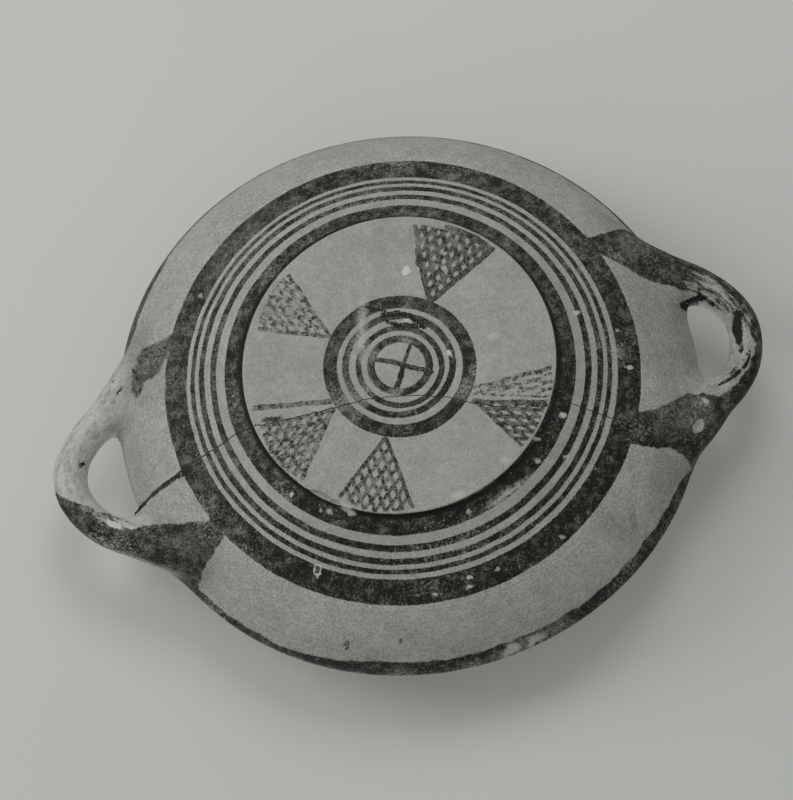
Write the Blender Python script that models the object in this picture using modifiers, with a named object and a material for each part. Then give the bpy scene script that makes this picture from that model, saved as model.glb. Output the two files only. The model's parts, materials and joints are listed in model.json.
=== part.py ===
"""Painted pottery bowl: a shallow wheel-turned bowl on a flat disc foot, with
two horizontal loop handles joined on just under the lip.

Metres, +Z up. The origin is the centre of the foot's flat underside and the
two handles lie along X. The clay is one fired body, so it is one solid.
"""
import math

import bmesh
import bpy

# ---------------------------------------------------------------- dimensions
# Foot: a flat disc that stands a little proud of the wall around it.
FOOT_RADIUS = 0.0720
FOOT_HEIGHT = 0.0032
FOOT_EDGE = 0.0006

# Wall: the outer side leaves the foot at a low slope and steepens to the lip.
WALL_START_RADIUS = 0.0738
WALL_TURN_RADIUS = 0.1065
LIP_RADIUS = 0.1349
SLOPE_AT_FOOT = math.radians(24.5)
SLOPE_AT_LIP = math.radians(63.0)
WALL_THICKNESS = 0.0060
FLOOR_THICKNESS = 0.0084
LIP_STEPS = 6

# The mended body isn't quite round. Each entry of the list is one lobe of the
# lip's wander: how many times it repeats round the bowl, how far, and where.
LIP_MEAN_SHIFT = 0.0006
LIP_LOBES = ((1, 0.0010, math.radians(175.0)),
             (2, 0.0012, math.radians(27.0)),
             (3, 0.0007, math.radians(-50.0)),
             (4, 0.0003, math.radians(39.0)))
LOBES_START_RADIUS = 0.1000

# The foot is slightly oval: how far, and the direction of its long way.
FOOT_OVAL = 0.0008
FOOT_OVAL_ANGLE = math.radians(-47.0)
FOOT_OVAL_INSIDE = 0.0600
FOOT_OVAL_OUTSIDE = 0.0860

# Where the mend reaches the lip inside one handle, the lower sherd stands out.
SHERD_ANGLE = math.radians(-10.4)
SHERD_SPAN = math.radians(24.0)
SHERD_STEP = 0.0030

# Handles: thick clay rolls bent into loops. Each station of a route is a point
# of the roll's centre line and its radius there: out from the axis, along Y,
# height, radius. The rolls thicken at their roots. The first and last stations
# lie inside the bowl, so both ends stop in the wall.
HANDLE_ROUTES = {
    'east': ((0.099, 0.0573, 0.0410, 0.0096), (0.120, 0.0401, 0.0402, 0.0095),
             (0.1296, 0.0316, 0.0411, 0.0088), (0.1395, 0.0230, 0.0419, 0.0083),
             (0.1502, 0.0147, 0.0427, 0.0080), (0.1584, 0.0044, 0.0427, 0.0080),
             (0.161, -0.008, 0.0427, 0.0080), (0.157, -0.021, 0.0427, 0.0077),
             (0.148, -0.032, 0.0423, 0.0079), (0.135, -0.0401, 0.0411, 0.0090),
             (0.120, -0.0485, 0.0402, 0.0106), (0.098, -0.060, 0.0415, 0.0108)),
    'west': ((0.100, 0.0583, 0.0415, 0.0090), (0.121, 0.0396, 0.0402, 0.0087),
             (0.1341, 0.0293, 0.0413, 0.0084), (0.1466, 0.0200, 0.0422, 0.0081),
             (0.156, 0.0099, 0.0427, 0.0078), (0.161, -0.001, 0.0427, 0.0077),
             (0.1612, -0.012, 0.0427, 0.0077), (0.1572, -0.0234, 0.0427, 0.0077),
             (0.1495, -0.0321, 0.0423, 0.0081), (0.1398, -0.0387, 0.0413, 0.0090),
             (0.125, -0.0498, 0.0402, 0.0107), (0.098, -0.067, 0.0415, 0.0110)),
}
HANDLE_SIDES = {'east': 1.0, 'west': -1.0}
HANDLE_STEPS = 4

# Chip broken out of the foot's edge.
CHIP_ANGLE = math.radians(-49.5)
CHIP_HALF_LENGTH = 0.0075
CHIP_DEPTH = 0.0026
CHIP_HEIGHT = 0.0018

TURN_STEPS = 96


# ------------------------------------------------------------------- helpers
def new_collection(name):
    """Make a collection and link it under the scene."""
    collection = bpy.data.collections.new(name)
    bpy.context.scene.collection.children.link(collection)
    return collection


def link_mesh(name, mesh, collection):
    """Wrap a mesh in an object and put it in a collection."""
    obj = bpy.data.objects.new(name, mesh)
    collection.objects.link(obj)
    return obj


def smooth_step(x):
    """Ease from 0 to 1 with level ends."""
    x = min(max(x, 0.0), 1.0)
    return x * x * (3.0 - 2.0 * x)


def evaluated_copy(obj, name, collection):
    """Read an object with its modifiers as a new plain mesh object."""
    bpy.context.view_layer.update()
    graph = bpy.context.evaluated_depsgraph_get()
    mesh = bpy.data.meshes.new_from_object(obj.evaluated_get(graph))
    copy = link_mesh(name, mesh, collection)
    copy.matrix_world = obj.matrix_world
    return copy


def weld(mesh, distance):
    """Join the points of a mesh that lie on each other."""
    bm = bmesh.new()
    bm.from_mesh(mesh)
    bmesh.ops.remove_doubles(bm, verts=bm.verts, dist=distance)
    bm.to_mesh(mesh)
    bm.free()


def add_boolean(obj, cutter, operation):
    """Join or cut one object with another."""
    modifier = obj.modifiers.new(operation.title(), 'BOOLEAN')
    modifier.operation = operation
    modifier.solver = 'EXACT'
    modifier.object = cutter
    return modifier


def hide_cutter(obj):
    """Mark an object as a helper that isn't part of the bowl."""
    obj.hide_render = True
    obj.display_type = 'WIRE'


# ------------------------------------------------------------- turned profile
def wall_slope(radius):
    """Slope of the outer wall at a radius."""
    t = (radius - WALL_TURN_RADIUS) / (LIP_RADIUS - WALL_TURN_RADIUS)
    t = min(max(t, 0.0), 1.0)
    return SLOPE_AT_FOOT + (SLOPE_AT_LIP - SLOPE_AT_FOOT) * t ** 1.1


def outer_wall(count):
    """Points (radius, height, slope) of the outer wall, from foot to lip."""
    points = []
    steps = 400
    height = FOOT_HEIGHT
    every = steps // count
    step = (LIP_RADIUS - WALL_START_RADIUS) / steps
    for i in range(steps + 1):
        radius = WALL_START_RADIUS + step * i
        slope = wall_slope(radius)
        if i % every == 0:
            points.append((radius, height, slope))
        height += math.tan(slope) * step
    return points


def offset_point(point, distance):
    """Move a wall point square to the wall, towards the inside."""
    radius, height, slope = point
    return (radius - distance * math.sin(slope),
            height + distance * math.cos(slope))


def foot_side():
    """Points of the foot's underside and edge, from the axis outwards."""
    low = FOOT_RADIUS - FOOT_EDGE
    return [(0.0, 0.0),
            (low * 0.5, 0.0),
            (low, 0.0),
            (FOOT_RADIUS - 0.0002, FOOT_EDGE * 0.4),
            (FOOT_RADIUS, FOOT_EDGE),
            (FOOT_RADIUS + 0.0001, FOOT_HEIGHT - 0.0004)]


def lip_round(last):
    """Half circle of points over the lip, from the outside to the inside."""
    radius, height, slope = last
    half = WALL_THICKNESS * 0.5
    centre = offset_point(last, half)
    points = []
    for i in range(1, LIP_STEPS):
        a = -(math.pi * 0.5 - slope) + math.pi * i / LIP_STEPS
        points.append((centre[0] + half * math.cos(a),
                       centre[1] + half * math.sin(a)))
    return points


def inner_wall(depth):
    """Points of the inside, from the lip down to the axis."""
    wall = outer_wall(16)
    points = [offset_point(p, depth) for p in reversed(wall)]
    floor = FLOOR_THICKNESS * depth / WALL_THICKNESS
    level = [p for p in points if p[0] > FOOT_RADIUS]
    level.append((FOOT_RADIUS - 0.0060, floor + 0.0006))
    level.append((FOOT_RADIUS - 0.0180, floor + 0.0001))
    level.append((FOOT_RADIUS * 0.4, floor))
    level.append((0.0, floor))
    return level


def turned_object(name, profile, collection):
    """Turn a profile, given top to bottom on the outer side, about Z."""
    bm = bmesh.new()
    verts = [bm.verts.new((x, 0.0, z)) for x, z in profile]
    for a, b in zip(verts, verts[1:]):
        bm.edges.new((a, b))
    mesh = bpy.data.meshes.new(name)
    bm.to_mesh(mesh)
    bm.free()
    obj = link_mesh(name, mesh, collection)
    screw = obj.modifiers.new('Turn', 'SCREW')
    screw.axis = 'Z'
    screw.steps = TURN_STEPS
    screw.render_steps = TURN_STEPS
    screw.use_merge_vertices = True
    screw.merge_threshold = 0.00001
    screw.use_smooth_shade = True
    return obj


# ------------------------------------------------------------ hand-made shape
def lip_shift(angle):
    """How far the lip stands out of a true circle at an angle."""
    shift = LIP_MEAN_SHIFT
    for count, size, start in LIP_LOBES:
        shift += size * math.cos(count * (angle - start))
    turn = (SHERD_ANGLE - angle) % (2.0 * math.pi)
    if turn < SHERD_SPAN:
        ease = 1.0 - smooth_step(turn / SHERD_SPAN)
        shift += SHERD_STEP * ease
    return shift


def foot_shift(angle, radius):
    """How far the foot and the wall beside it stand out of a true circle."""
    inside = (radius - FOOT_OVAL_INSIDE) / (FOOT_RADIUS - FOOT_OVAL_INSIDE)
    outside = (FOOT_OVAL_OUTSIDE - radius) / (FOOT_OVAL_OUTSIDE - FOOT_RADIUS)
    share = smooth_step(min(inside, outside))
    return share * FOOT_OVAL * math.cos(2.0 * (angle - FOOT_OVAL_ANGLE))


def wander(mesh):
    """Move the foot's and the upper wall's points out of a true circle."""
    span = LIP_RADIUS - LOBES_START_RADIUS
    for vert in mesh.vertices:
        radius = math.hypot(vert.co.x, vert.co.y)
        if radius < FOOT_OVAL_INSIDE:
            continue
        angle = math.atan2(vert.co.y, vert.co.x)
        share = smooth_step((radius - LOBES_START_RADIUS) / span)
        shift = lip_shift(angle) * share
        if vert.co.z < FOOT_HEIGHT + 0.0080:
            shift += foot_shift(angle, radius)
        vert.co.x *= 1.0 + shift / radius
        vert.co.y *= 1.0 + shift / radius


def smooth_route(stations, steps):
    """Points along a smooth line that passes through every station."""
    last = len(stations) - 1
    points = []
    for i in range(last):
        before = stations[max(i - 1, 0)]
        start = stations[i]
        end = stations[i + 1]
        after = stations[min(i + 2, last)]
        for k in range(steps):
            t = k / steps
            point = []
            for a, b, c, d in zip(before, start, end, after):
                bend = 2.0 * a - 5.0 * b + 4.0 * c - d
                twist = -a + 3.0 * b - 3.0 * c + d
                value = 2.0 * b + (c - a) * t + bend * t * t + twist * t ** 3
                point.append(0.5 * value)
            points.append(tuple(point))
    points.append(stations[last])
    return points


def handle_line(side):
    """Centre points and radii of one handle."""
    points = []
    for station in smooth_route(HANDLE_ROUTES[side], HANDLE_STEPS):
        out, along, height, radius = station
        points.append((out * HANDLE_SIDES[side], along, height, radius))
    return points


def handle_object(name, side, collection):
    """A clay roll along the handle's centre line, as a mesh."""
    line = handle_line(side)
    curve = bpy.data.curves.new(name, 'CURVE')
    curve.dimensions = '3D'
    curve.bevel_depth = 1.0
    curve.bevel_resolution = 6
    curve.use_fill_caps = True
    spline = curve.splines.new('POLY')
    spline.points.add(len(line) - 1)
    for point, (x, y, z, radius) in zip(spline.points, line):
        point.co = (x, y, z, 1.0)
        point.radius = radius
    guide = bpy.data.objects.new(name + '_curve', curve)
    collection.objects.link(guide)
    roll = evaluated_copy(guide, name, collection)
    bpy.data.objects.remove(guide)
    weld(roll.data, 0.00001)
    return roll


def chip_tool(collection):
    """A rounded block that breaks the chip out of the foot's edge."""
    bpy.ops.mesh.primitive_uv_sphere_add(segments=12, ring_count=8, radius=1.0)
    tool = bpy.context.object
    tool.name = 'foot_chip_cutter'
    reach = FOOT_RADIUS - CHIP_DEPTH + 0.0060
    tool.location = (reach * math.cos(CHIP_ANGLE),
                     reach * math.sin(CHIP_ANGLE),
                     -0.0020)
    tool.rotation_euler = (0.0, 0.0, CHIP_ANGLE)
    tool.scale = (0.0065, CHIP_HALF_LENGTH, CHIP_HEIGHT + 0.0020)
    for owner in list(tool.users_collection):
        owner.objects.unlink(tool)
    collection.objects.link(tool)
    return tool


def clay_material():
    """Pale matt slip, the ground under the painted bands."""
    material = bpy.data.materials.new('pale_slip')
    material.use_nodes = True
    shader = material.node_tree.nodes['Principled BSDF']
    shader.inputs['Base Color'].default_value = (0.36, 0.345, 0.315, 1.0)
    shader.inputs['Roughness'].default_value = 0.75
    shader.inputs['Metallic'].default_value = 0.0
    return material


# --------------------------------------------------------------------- build
def main():
    for obj in list(bpy.data.objects):
        bpy.data.objects.remove(obj)
    parts = new_collection('painted_bowl')
    tools = new_collection('cutters')

    # The shell, closed from the foot over the lip and down the inside.
    wall = outer_wall(20)
    outside = foot_side() + [(r, z) for r, z, slope in wall]
    profile = outside + lip_round(wall[-1]) + inner_wall(WALL_THICKNESS)
    profile.reverse()
    turned = turned_object('turned_shell', profile[::-1], tools)
    bowl = evaluated_copy(turned, 'bowl', parts)
    bpy.data.objects.remove(turned)
    weld(bowl.data, 0.00001)
    wander(bowl.data)
    bm = bmesh.new()
    bm.from_mesh(bowl.data)
    bmesh.ops.recalc_face_normals(bm, faces=bm.faces)
    bm.to_mesh(bowl.data)
    bm.free()

    # A solid that ends inside the wall, so a handle's end stops in the clay.
    stop = inner_wall(WALL_THICKNESS * 0.5)
    stop.insert(0, (stop[0][0] + 0.0004, 0.0800))
    stop.insert(0, (0.0, 0.0800))
    plug = turned_object('inside_cutter', stop, tools)
    plug = evaluated_copy(plug, 'inside_stop', tools)
    bpy.data.objects.remove(bpy.data.objects['inside_cutter'])
    weld(plug.data, 0.00001)
    wander(plug.data)
    bm = bmesh.new()
    bm.from_mesh(plug.data)
    bmesh.ops.recalc_face_normals(bm, faces=bm.faces)
    bm.to_mesh(plug.data)
    bm.free()
    hide_cutter(plug)

    # Handles, each ended inside the wall and joined to the shell.
    for side in HANDLE_ROUTES:
        roll = handle_object('handle_roll_' + side, side, tools)
        add_boolean(roll, plug, 'DIFFERENCE')
        hide_cutter(roll)
        add_boolean(bowl, roll, 'UNION')

    chip = chip_tool(tools)
    hide_cutter(chip)
    add_boolean(bowl, chip, 'DIFFERENCE')

    bowl.data.materials.append(clay_material())
    bowl.data.shade_smooth()
    bowl.data.set_sharp_from_angle(angle=math.radians(40.0))


main()
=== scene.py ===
# %% [markdown]
# # A painted bowl that stands on its foot
#
# The real thing is a shallow dish of fired clay, thrown on a wheel, with a
# flat disc foot and two thick loop handles. Its maker painted the underside
# with dark slip while it turned: wide and narrow rings, a small target with a
# crossed circle in the middle, and latticed triangles pointing at it. It broke
# long ago and was mended from two big sherds.
#
# This lesson rebuilds it in the order a potter would work: turn the body,
# roll the handles, join them, knock in the old damage, and then paint.

# %% Load the fixed model
import json
import math

import bmesh
import bpy
import numpy as np
from mathutils import Matrix, Vector

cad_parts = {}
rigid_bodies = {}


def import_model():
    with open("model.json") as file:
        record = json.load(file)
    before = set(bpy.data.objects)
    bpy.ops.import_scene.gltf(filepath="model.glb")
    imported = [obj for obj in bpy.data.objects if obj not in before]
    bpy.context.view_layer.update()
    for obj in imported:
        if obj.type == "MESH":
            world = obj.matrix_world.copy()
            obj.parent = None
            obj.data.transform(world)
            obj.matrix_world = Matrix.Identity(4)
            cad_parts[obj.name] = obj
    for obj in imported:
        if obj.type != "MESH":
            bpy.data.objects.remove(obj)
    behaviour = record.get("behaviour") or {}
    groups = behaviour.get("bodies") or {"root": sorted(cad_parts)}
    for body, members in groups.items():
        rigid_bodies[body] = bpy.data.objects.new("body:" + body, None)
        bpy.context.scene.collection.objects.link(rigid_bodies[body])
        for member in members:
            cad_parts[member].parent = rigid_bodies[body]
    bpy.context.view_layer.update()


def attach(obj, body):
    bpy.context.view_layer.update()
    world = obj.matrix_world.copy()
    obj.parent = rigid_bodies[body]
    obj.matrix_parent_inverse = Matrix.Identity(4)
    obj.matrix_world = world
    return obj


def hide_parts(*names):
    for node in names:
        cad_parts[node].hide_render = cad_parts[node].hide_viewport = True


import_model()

# %% [markdown]
# ## A bench for nodes
#
# Both the shapes and the paint are made with nodes. A node tree is easy to
# read on screen and long-winded in code, so one helper lays a node, fills in
# its sockets and returns it. A socket is filled with a number, or with the
# output of another node, which draws the wire.

# %% A bench that lays nodes and joins them
class Bench:
    """Lays nodes in one tree, from left to right, and wires them up."""

    IN_A_ROW, APART, BELOW = 12, 180, 220

    def __init__(self, tree):
        self.tree = tree
        self.laid = 0

    def put(self, kind, sockets=None, **settings):
        """Lay one node. Sockets are given by name or by number."""
        node = self.tree.nodes.new(kind)
        row, column = divmod(self.laid, self.IN_A_ROW)
        node.location = (self.APART * column, -self.BELOW * row)
        self.laid += 1
        for name, value in settings.items():
            setattr(node, name, value)
        for key, value in (sockets or {}).items():
            self.feed(node.inputs[key], value)
        return node

    def feed(self, socket, value):
        """Put a number in a socket, or join it to another node's output."""
        if isinstance(value, bpy.types.NodeSocket):
            self.tree.links.new(value, socket)
        elif value is not None:
            socket.default_value = value

    def math(self, operation, a, b=None, c=None, clamp=False):
        """One sum on plain numbers."""
        node = self.put('ShaderNodeMath', {0: a, 1: b, 2: c},
                        operation=operation, use_clamp=clamp)
        return node.outputs[0]

    def add(self, a, b):
        return self.math('ADD', a, b)

    def sub(self, a, b):
        return self.math('SUBTRACT', a, b)

    def mul(self, a, b):
        return self.math('MULTIPLY', a, b)

    def least(self, a, b):
        return self.math('MINIMUM', a, b)

    def most(self, a, b):
        return self.math('MAXIMUM', a, b)

    def vector(self, operation, a, b=None, scale=None):
        """One sum on vectors; length and dot give a number."""
        node = self.put('ShaderNodeVectorMath', {0: a, 1: b},
                        operation=operation)
        if scale is not None:
            self.feed(node.inputs['Scale'], scale)
        number = operation in ('LENGTH', 'DOT_PRODUCT', 'DISTANCE')
        return node.outputs['Value' if number else 'Vector']

    def join(self, x, y, z):
        return self.put('ShaderNodeCombineXYZ', {0: x, 1: y, 2: z}).outputs[0]

    def split(self, vector):
        return self.put('ShaderNodeSeparateXYZ', {0: vector}).outputs

    def part(self, vector, way):
        """The part of a vector along a unit vector."""
        return self.vector('DOT_PRODUCT', vector, way)

    def ramp(self, value, low, high, to_low=0.0, to_high=1.0, smooth=True):
        """Turn a range of numbers into another, held at both ends."""
        node = self.put('ShaderNodeMapRange',
                        {'Value': value, 'From Min': low, 'From Max': high,
                         'To Min': to_low, 'To Max': to_high},
                        clamp=not smooth, interpolation_type='SMOOTHSTEP'
                        if smooth else 'LINEAR')
        return node.outputs[0]

    def noise(self, vector, scale, detail=2.0, roughness=0.5, seed=0.0):
        """Cloudy noise from 0 to 1, a different one for each seed."""
        node = self.put('ShaderNodeTexNoise',
                        {'Vector': vector, 'Scale': scale, 'Detail': detail,
                         'Roughness': roughness, 'W': seed},
                        noise_dimensions='4D')
        return node.outputs[0]


print('a bench lays', Bench.IN_A_ROW, 'nodes in a row')


# %% Start and end a tree, and run it on a mesh
def tree_with(kind, name, inputs, outputs):
    """A node tree or group with named inputs and outputs."""
    tree = bpy.data.node_groups.new(name, kind)
    for label, socket, start in inputs:
        made = tree.interface.new_socket(label, in_out='INPUT',
                                         socket_type='NodeSocket' + socket)
        if start is not None:
            made.default_value = start
    for label, socket in outputs:
        tree.interface.new_socket(label, in_out='OUTPUT',
                                  socket_type='NodeSocket' + socket)
    bench = Bench(tree)
    start = bench.put('NodeGroupInput').outputs
    end = bench.put('NodeGroupOutput').inputs
    return tree, bench, start, end


def end_with_clay(b, geometry, end, clay=None):
    """The end of every shape's tree: real geometry, with its material."""
    real = b.put('GeometryNodeRealizeInstances', {0: geometry})
    laid = b.put('GeometryNodeSetMaterial',
                 {0: real.outputs[0], 'Material': clay})
    b.feed(end[0], laid.outputs[0])


def mesh_object(name, verts, edges=(), faces=()):
    """A mesh object at the origin."""
    mesh = bpy.data.meshes.new(name)
    mesh.from_pydata([tuple(v) for v in verts], list(edges), list(faces))
    obj = bpy.data.objects.new(name, mesh)
    bpy.context.scene.collection.objects.link(obj)
    return obj


def chain_object(name, points, thickness=None):
    """Points joined in a row by edges; each may have its own thickness."""
    chain = mesh_object(name, points,
                        [(k, k + 1) for k in range(len(points) - 1)])
    if thickness is not None:
        layer = chain.data.attributes.new('thickness', 'FLOAT', 'POINT')
        layer.data.foreach_set('value', thickness)
    return chain


def run_tree(obj, tree, values):
    """Run a node tree on an object with these inputs; a plain mesh results."""
    modifier = obj.modifiers.new(tree.name, 'NODES')
    modifier.node_group = tree
    sockets = {s.name: s.identifier for s in tree.interface.items_tree
               if s.in_out == 'INPUT'}
    for name, value in values.items():
        modifier[sockets[name]] = value
    return settle(obj)


def settle(obj):
    """Swap an object's mesh for what its modifiers make, and drop them."""
    bpy.context.view_layer.update()
    graph = bpy.context.evaluated_depsgraph_get()
    made = bpy.data.meshes.new_from_object(obj.evaluated_get(graph))
    obj.modifiers.clear()
    old, obj.data = obj.data, made
    bpy.data.meshes.remove(old)
    return obj


# %% [markdown]
# ## The wall's rule
#
# Seen in section, the real bowl has one simple line: flat under the foot, a
# small step out to the wall, then a low slope that steepens evenly towards
# the lip. The inside follows the outside at the thickness of the clay, and
# the lip is a half circle between them. A rule like that suits Geometry
# Nodes: the height is a running sum of slope times step, so changing one
# slope or radius redraws the whole section.

# %% Sizes of the section, in metres
SECTION = {
    'Foot radius': 0.0720, 'Foot height': 0.0032, 'Foot edge': 0.0006,
    'Wall start': 0.0738, 'Wall turn': 0.1065, 'Lip radius': 0.1349,
    'Slope at foot': math.radians(24.5), 'Slope at lip': math.radians(63.0),
    'Wall bend': 1.1, 'Clay thickness': 0.0060, 'Floor thickness': 0.0084,
    'Floor ease': 6.0, 'Corner out': 0.0001, 'Corner down': 0.0004,
}
POINTS = {'Foot points': 17, 'Wall points': 54, 'Lip points': 10,
          'Floor points': 15, 'Foot edge points': 4}
print('points along the section:', sum(POINTS.values()))


# %% Small steps of the section's tree
def slope_at(b, g, radius):
    """Nodes for the outer wall's slope at a radius."""
    span = b.sub(g['Lip radius'], g['Wall turn'])
    share = b.math('DIVIDE', b.sub(radius, g['Wall turn']), span, clamp=True)
    bend = b.math('POWER', share, g['Wall bend'])
    gain = b.sub(g['Slope at lip'], g['Slope at foot'])
    return b.math('MULTIPLY_ADD', bend, gain, g['Slope at foot'])


def index_of(b):
    return b.put('GeometryNodeInputIndex').outputs[0]


def line_of(b, count):
    """A row of loose points joined by edges, to be put in place later."""
    return b.put('GeometryNodeMeshLine', {'Count': count},
                 mode='OFFSET').outputs[0]


def look_up(b, geometry, index):
    """The place of one numbered point of some geometry."""
    place = b.put('GeometryNodeInputPosition').outputs[0]
    node = b.put('GeometryNodeSampleIndex', data_type='FLOAT_VECTOR')
    b.feed(node.inputs['Geometry'], geometry)
    b.feed(node.inputs['Value'], place)
    b.feed(node.inputs['Index'], index)
    return node.outputs[0]


def choose(b, index, below, first, second):
    """The first vector where index is below a number, else the second."""
    test = b.put('FunctionNodeCompare', data_type='INT',
                 operation='LESS_THAN')
    b.feed(test.inputs[2], index)
    b.feed(test.inputs[3], below)
    node = b.put('GeometryNodeSwitch', input_type='VECTOR')
    b.feed(node.inputs['Switch'], test.outputs[0])
    b.feed(node.inputs['True'], first)
    b.feed(node.inputs['False'], second)
    return node.outputs[0]


# %% Build the tree that draws the section
def section_tree():
    """The bowl's section, as a line from under the foot to the inside."""
    inputs = [('Geometry', 'Geometry', None)]
    inputs += [(k, 'Float', v) for k, v in SECTION.items()]
    inputs += [(k, 'Int', v) for k, v in POINTS.items()]
    tree, b, g, end = tree_with('GeometryNodeTree', 'bowl_section', inputs,
                                [('Geometry', 'Geometry')])
    i = index_of(b)

    # The wall, as points that hold radius, slope and height.
    wall_points = g['Wall points']
    gaps = b.sub(wall_points, 1.0)
    step = b.math('DIVIDE', b.sub(g['Lip radius'], g['Wall start']), gaps)
    radius = b.math('MULTIPLY_ADD', i, step, g['Wall start'])
    middle = b.math('MULTIPLY_ADD', step, 0.5, radius)
    rise = b.mul(b.math('TANGENT', slope_at(b, g, middle)), step)
    summed = b.put('GeometryNodeAccumulateField', {'Value': rise})
    height = b.add(summed.outputs['Trailing'], g['Foot height'])
    wall = b.put('GeometryNodeSetPosition',
                 {'Geometry': line_of(b, wall_points),
                  'Position': b.join(radius, slope_at(b, g, radius),
                                     height)}).outputs[0]

    # Where each stretch of the section ends, counted in points.
    lip_gaps = b.sub(g['Lip points'], 1.0)
    n_foot = g['Foot points']
    n_step = b.add(n_foot, 1.0)
    n_wall = b.add(n_step, wall_points)
    n_lip = b.add(n_wall, lip_gaps)
    n_inside = b.add(n_lip, gaps)
    n_all = b.add(n_inside, g['Floor points'])

    # Underside of the foot, and the step up to the wall.
    under = b.join(b.mul(g['Foot radius'],
                         b.math('DIVIDE', i, b.sub(n_foot, 1.0))), 0.0, 0.0)
    corner = b.join(b.add(g['Foot radius'], g['Corner out']), 0.0,
                    b.sub(g['Foot height'], g['Corner down']))

    # Outer wall.
    out_r, _, out_z = b.split(look_up(b, wall, b.sub(i, n_step)))
    outer = b.join(out_r, 0.0, out_z)

    # Lip: a half circle about the middle of the clay.
    end_r, end_s, end_z = b.split(look_up(b, wall, gaps))
    half = b.mul(g['Clay thickness'], 0.5)
    mid_r = b.sub(end_r, b.mul(half, b.math('SINE', end_s)))
    mid_z = b.add(end_z, b.mul(half, b.math('COSINE', end_s)))
    share = b.math('DIVIDE', b.add(b.sub(i, n_wall), 1.0), g['Lip points'])
    turn = b.math('MULTIPLY_ADD', share, math.pi,
                  b.sub(end_s, math.pi / 2))
    lip = b.join(b.math('MULTIPLY_ADD', b.math('COSINE', turn), half, mid_r),
                 0.0,
                 b.math('MULTIPLY_ADD', b.math('SINE', turn), half, mid_z))

    # Inside: the wall again, from the lip down, one thickness in.
    def inside_point(number):
        r, s, z = b.split(look_up(b, wall, number))
        thick = g['Clay thickness']
        return (b.sub(r, b.mul(thick, b.math('SINE', s))),
                b.add(z, b.mul(thick, b.math('COSINE', s))))
    in_r, in_z = inside_point(b.sub(gaps, b.sub(i, n_lip)))
    inner = b.join(in_r, 0.0, in_z)

    # Floor: almost level, easing up into the wall.
    low_r, low_z = inside_point(1)
    away = b.math('DIVIDE', b.add(b.sub(i, n_inside), 1.0),
                  g['Floor points'])
    left = b.sub(1.0, away)
    lift = b.mul(b.sub(low_z, g['Floor thickness']),
                 b.math('POWER', left, g['Floor ease']))
    floor = b.join(b.mul(low_r, left), 0.0,
                   b.add(g['Floor thickness'], lift))

    # Each choice wraps the one before it, so the lowest range wins.
    place = choose(b, i, n_inside, inner, floor)
    place = choose(b, i, n_lip, lip, place)
    place = choose(b, i, n_wall, outer, place)
    place = choose(b, i, n_step, corner, place)
    place = choose(b, i, n_foot, under, place)
    line = b.put('GeometryNodeSetPosition',
                 {'Geometry': line_of(b, n_all), 'Position': place})

    # Round the foot's lower corner.
    curve = b.put('GeometryNodeMeshToCurve', {0: line.outputs[0]})
    test = b.put('FunctionNodeCompare', data_type='INT', operation='EQUAL')
    b.feed(test.inputs[2], i)
    b.feed(test.inputs[3], b.sub(n_foot, 1.0))
    rounding = b.mul(g['Foot edge'], test.outputs[0])
    fillet = b.put('GeometryNodeFilletCurve',
                   {'Curve': curve.outputs[0], 'Radius': rounding,
                    'Limit Radius': True}, mode='POLY')
    b.feed(fillet.inputs['Count'], g['Foot edge points'])
    drawn = b.put('GeometryNodeCurveToMesh', {'Curve': fillet.outputs[0]})
    end_with_clay(b, drawn.outputs[0], end)
    return tree


line = mesh_object('section_line', [(0, 0, 0)])
line = run_tree(line, section_tree(), {**SECTION, **POINTS})
section = np.array([(v.co.x, v.co.z) for v in line.data.vertices])
lip_at = int(section[:, 1].argmax())
print(len(section), 'points in the section; the lip is',
      round(section[lip_at, 1] * 1000, 2), 'mm high')

# %% [markdown]
# ## Turning the section on the wheel
#
# A wheel turns one section into a whole body. The tree does the same: it
# lays a sheet of points, one row for each point of the section and one
# column for each step round the wheel, and bends it about the upright axis.
# Points that meet, at the seam and at the two poles, are merged, so the
# shell is closed. The thrower's fingers leave low rings in the wall; a long
# stretched noise moves the points along their normals by a tenth of a
# millimetre or less to make them.

# %% Build the tree that turns a section
WHEEL = {'Steps round': 400, 'Ring depth': 0.00022, 'Ring width': 0.0042,
         'Ring wander': 0.7, 'Ring middle': 0.62, 'Seed': 7.0}
RINGS_FROM, RINGS_FULL = 0.0034, 0.0060
SAME_POINT = 0.00002


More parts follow.
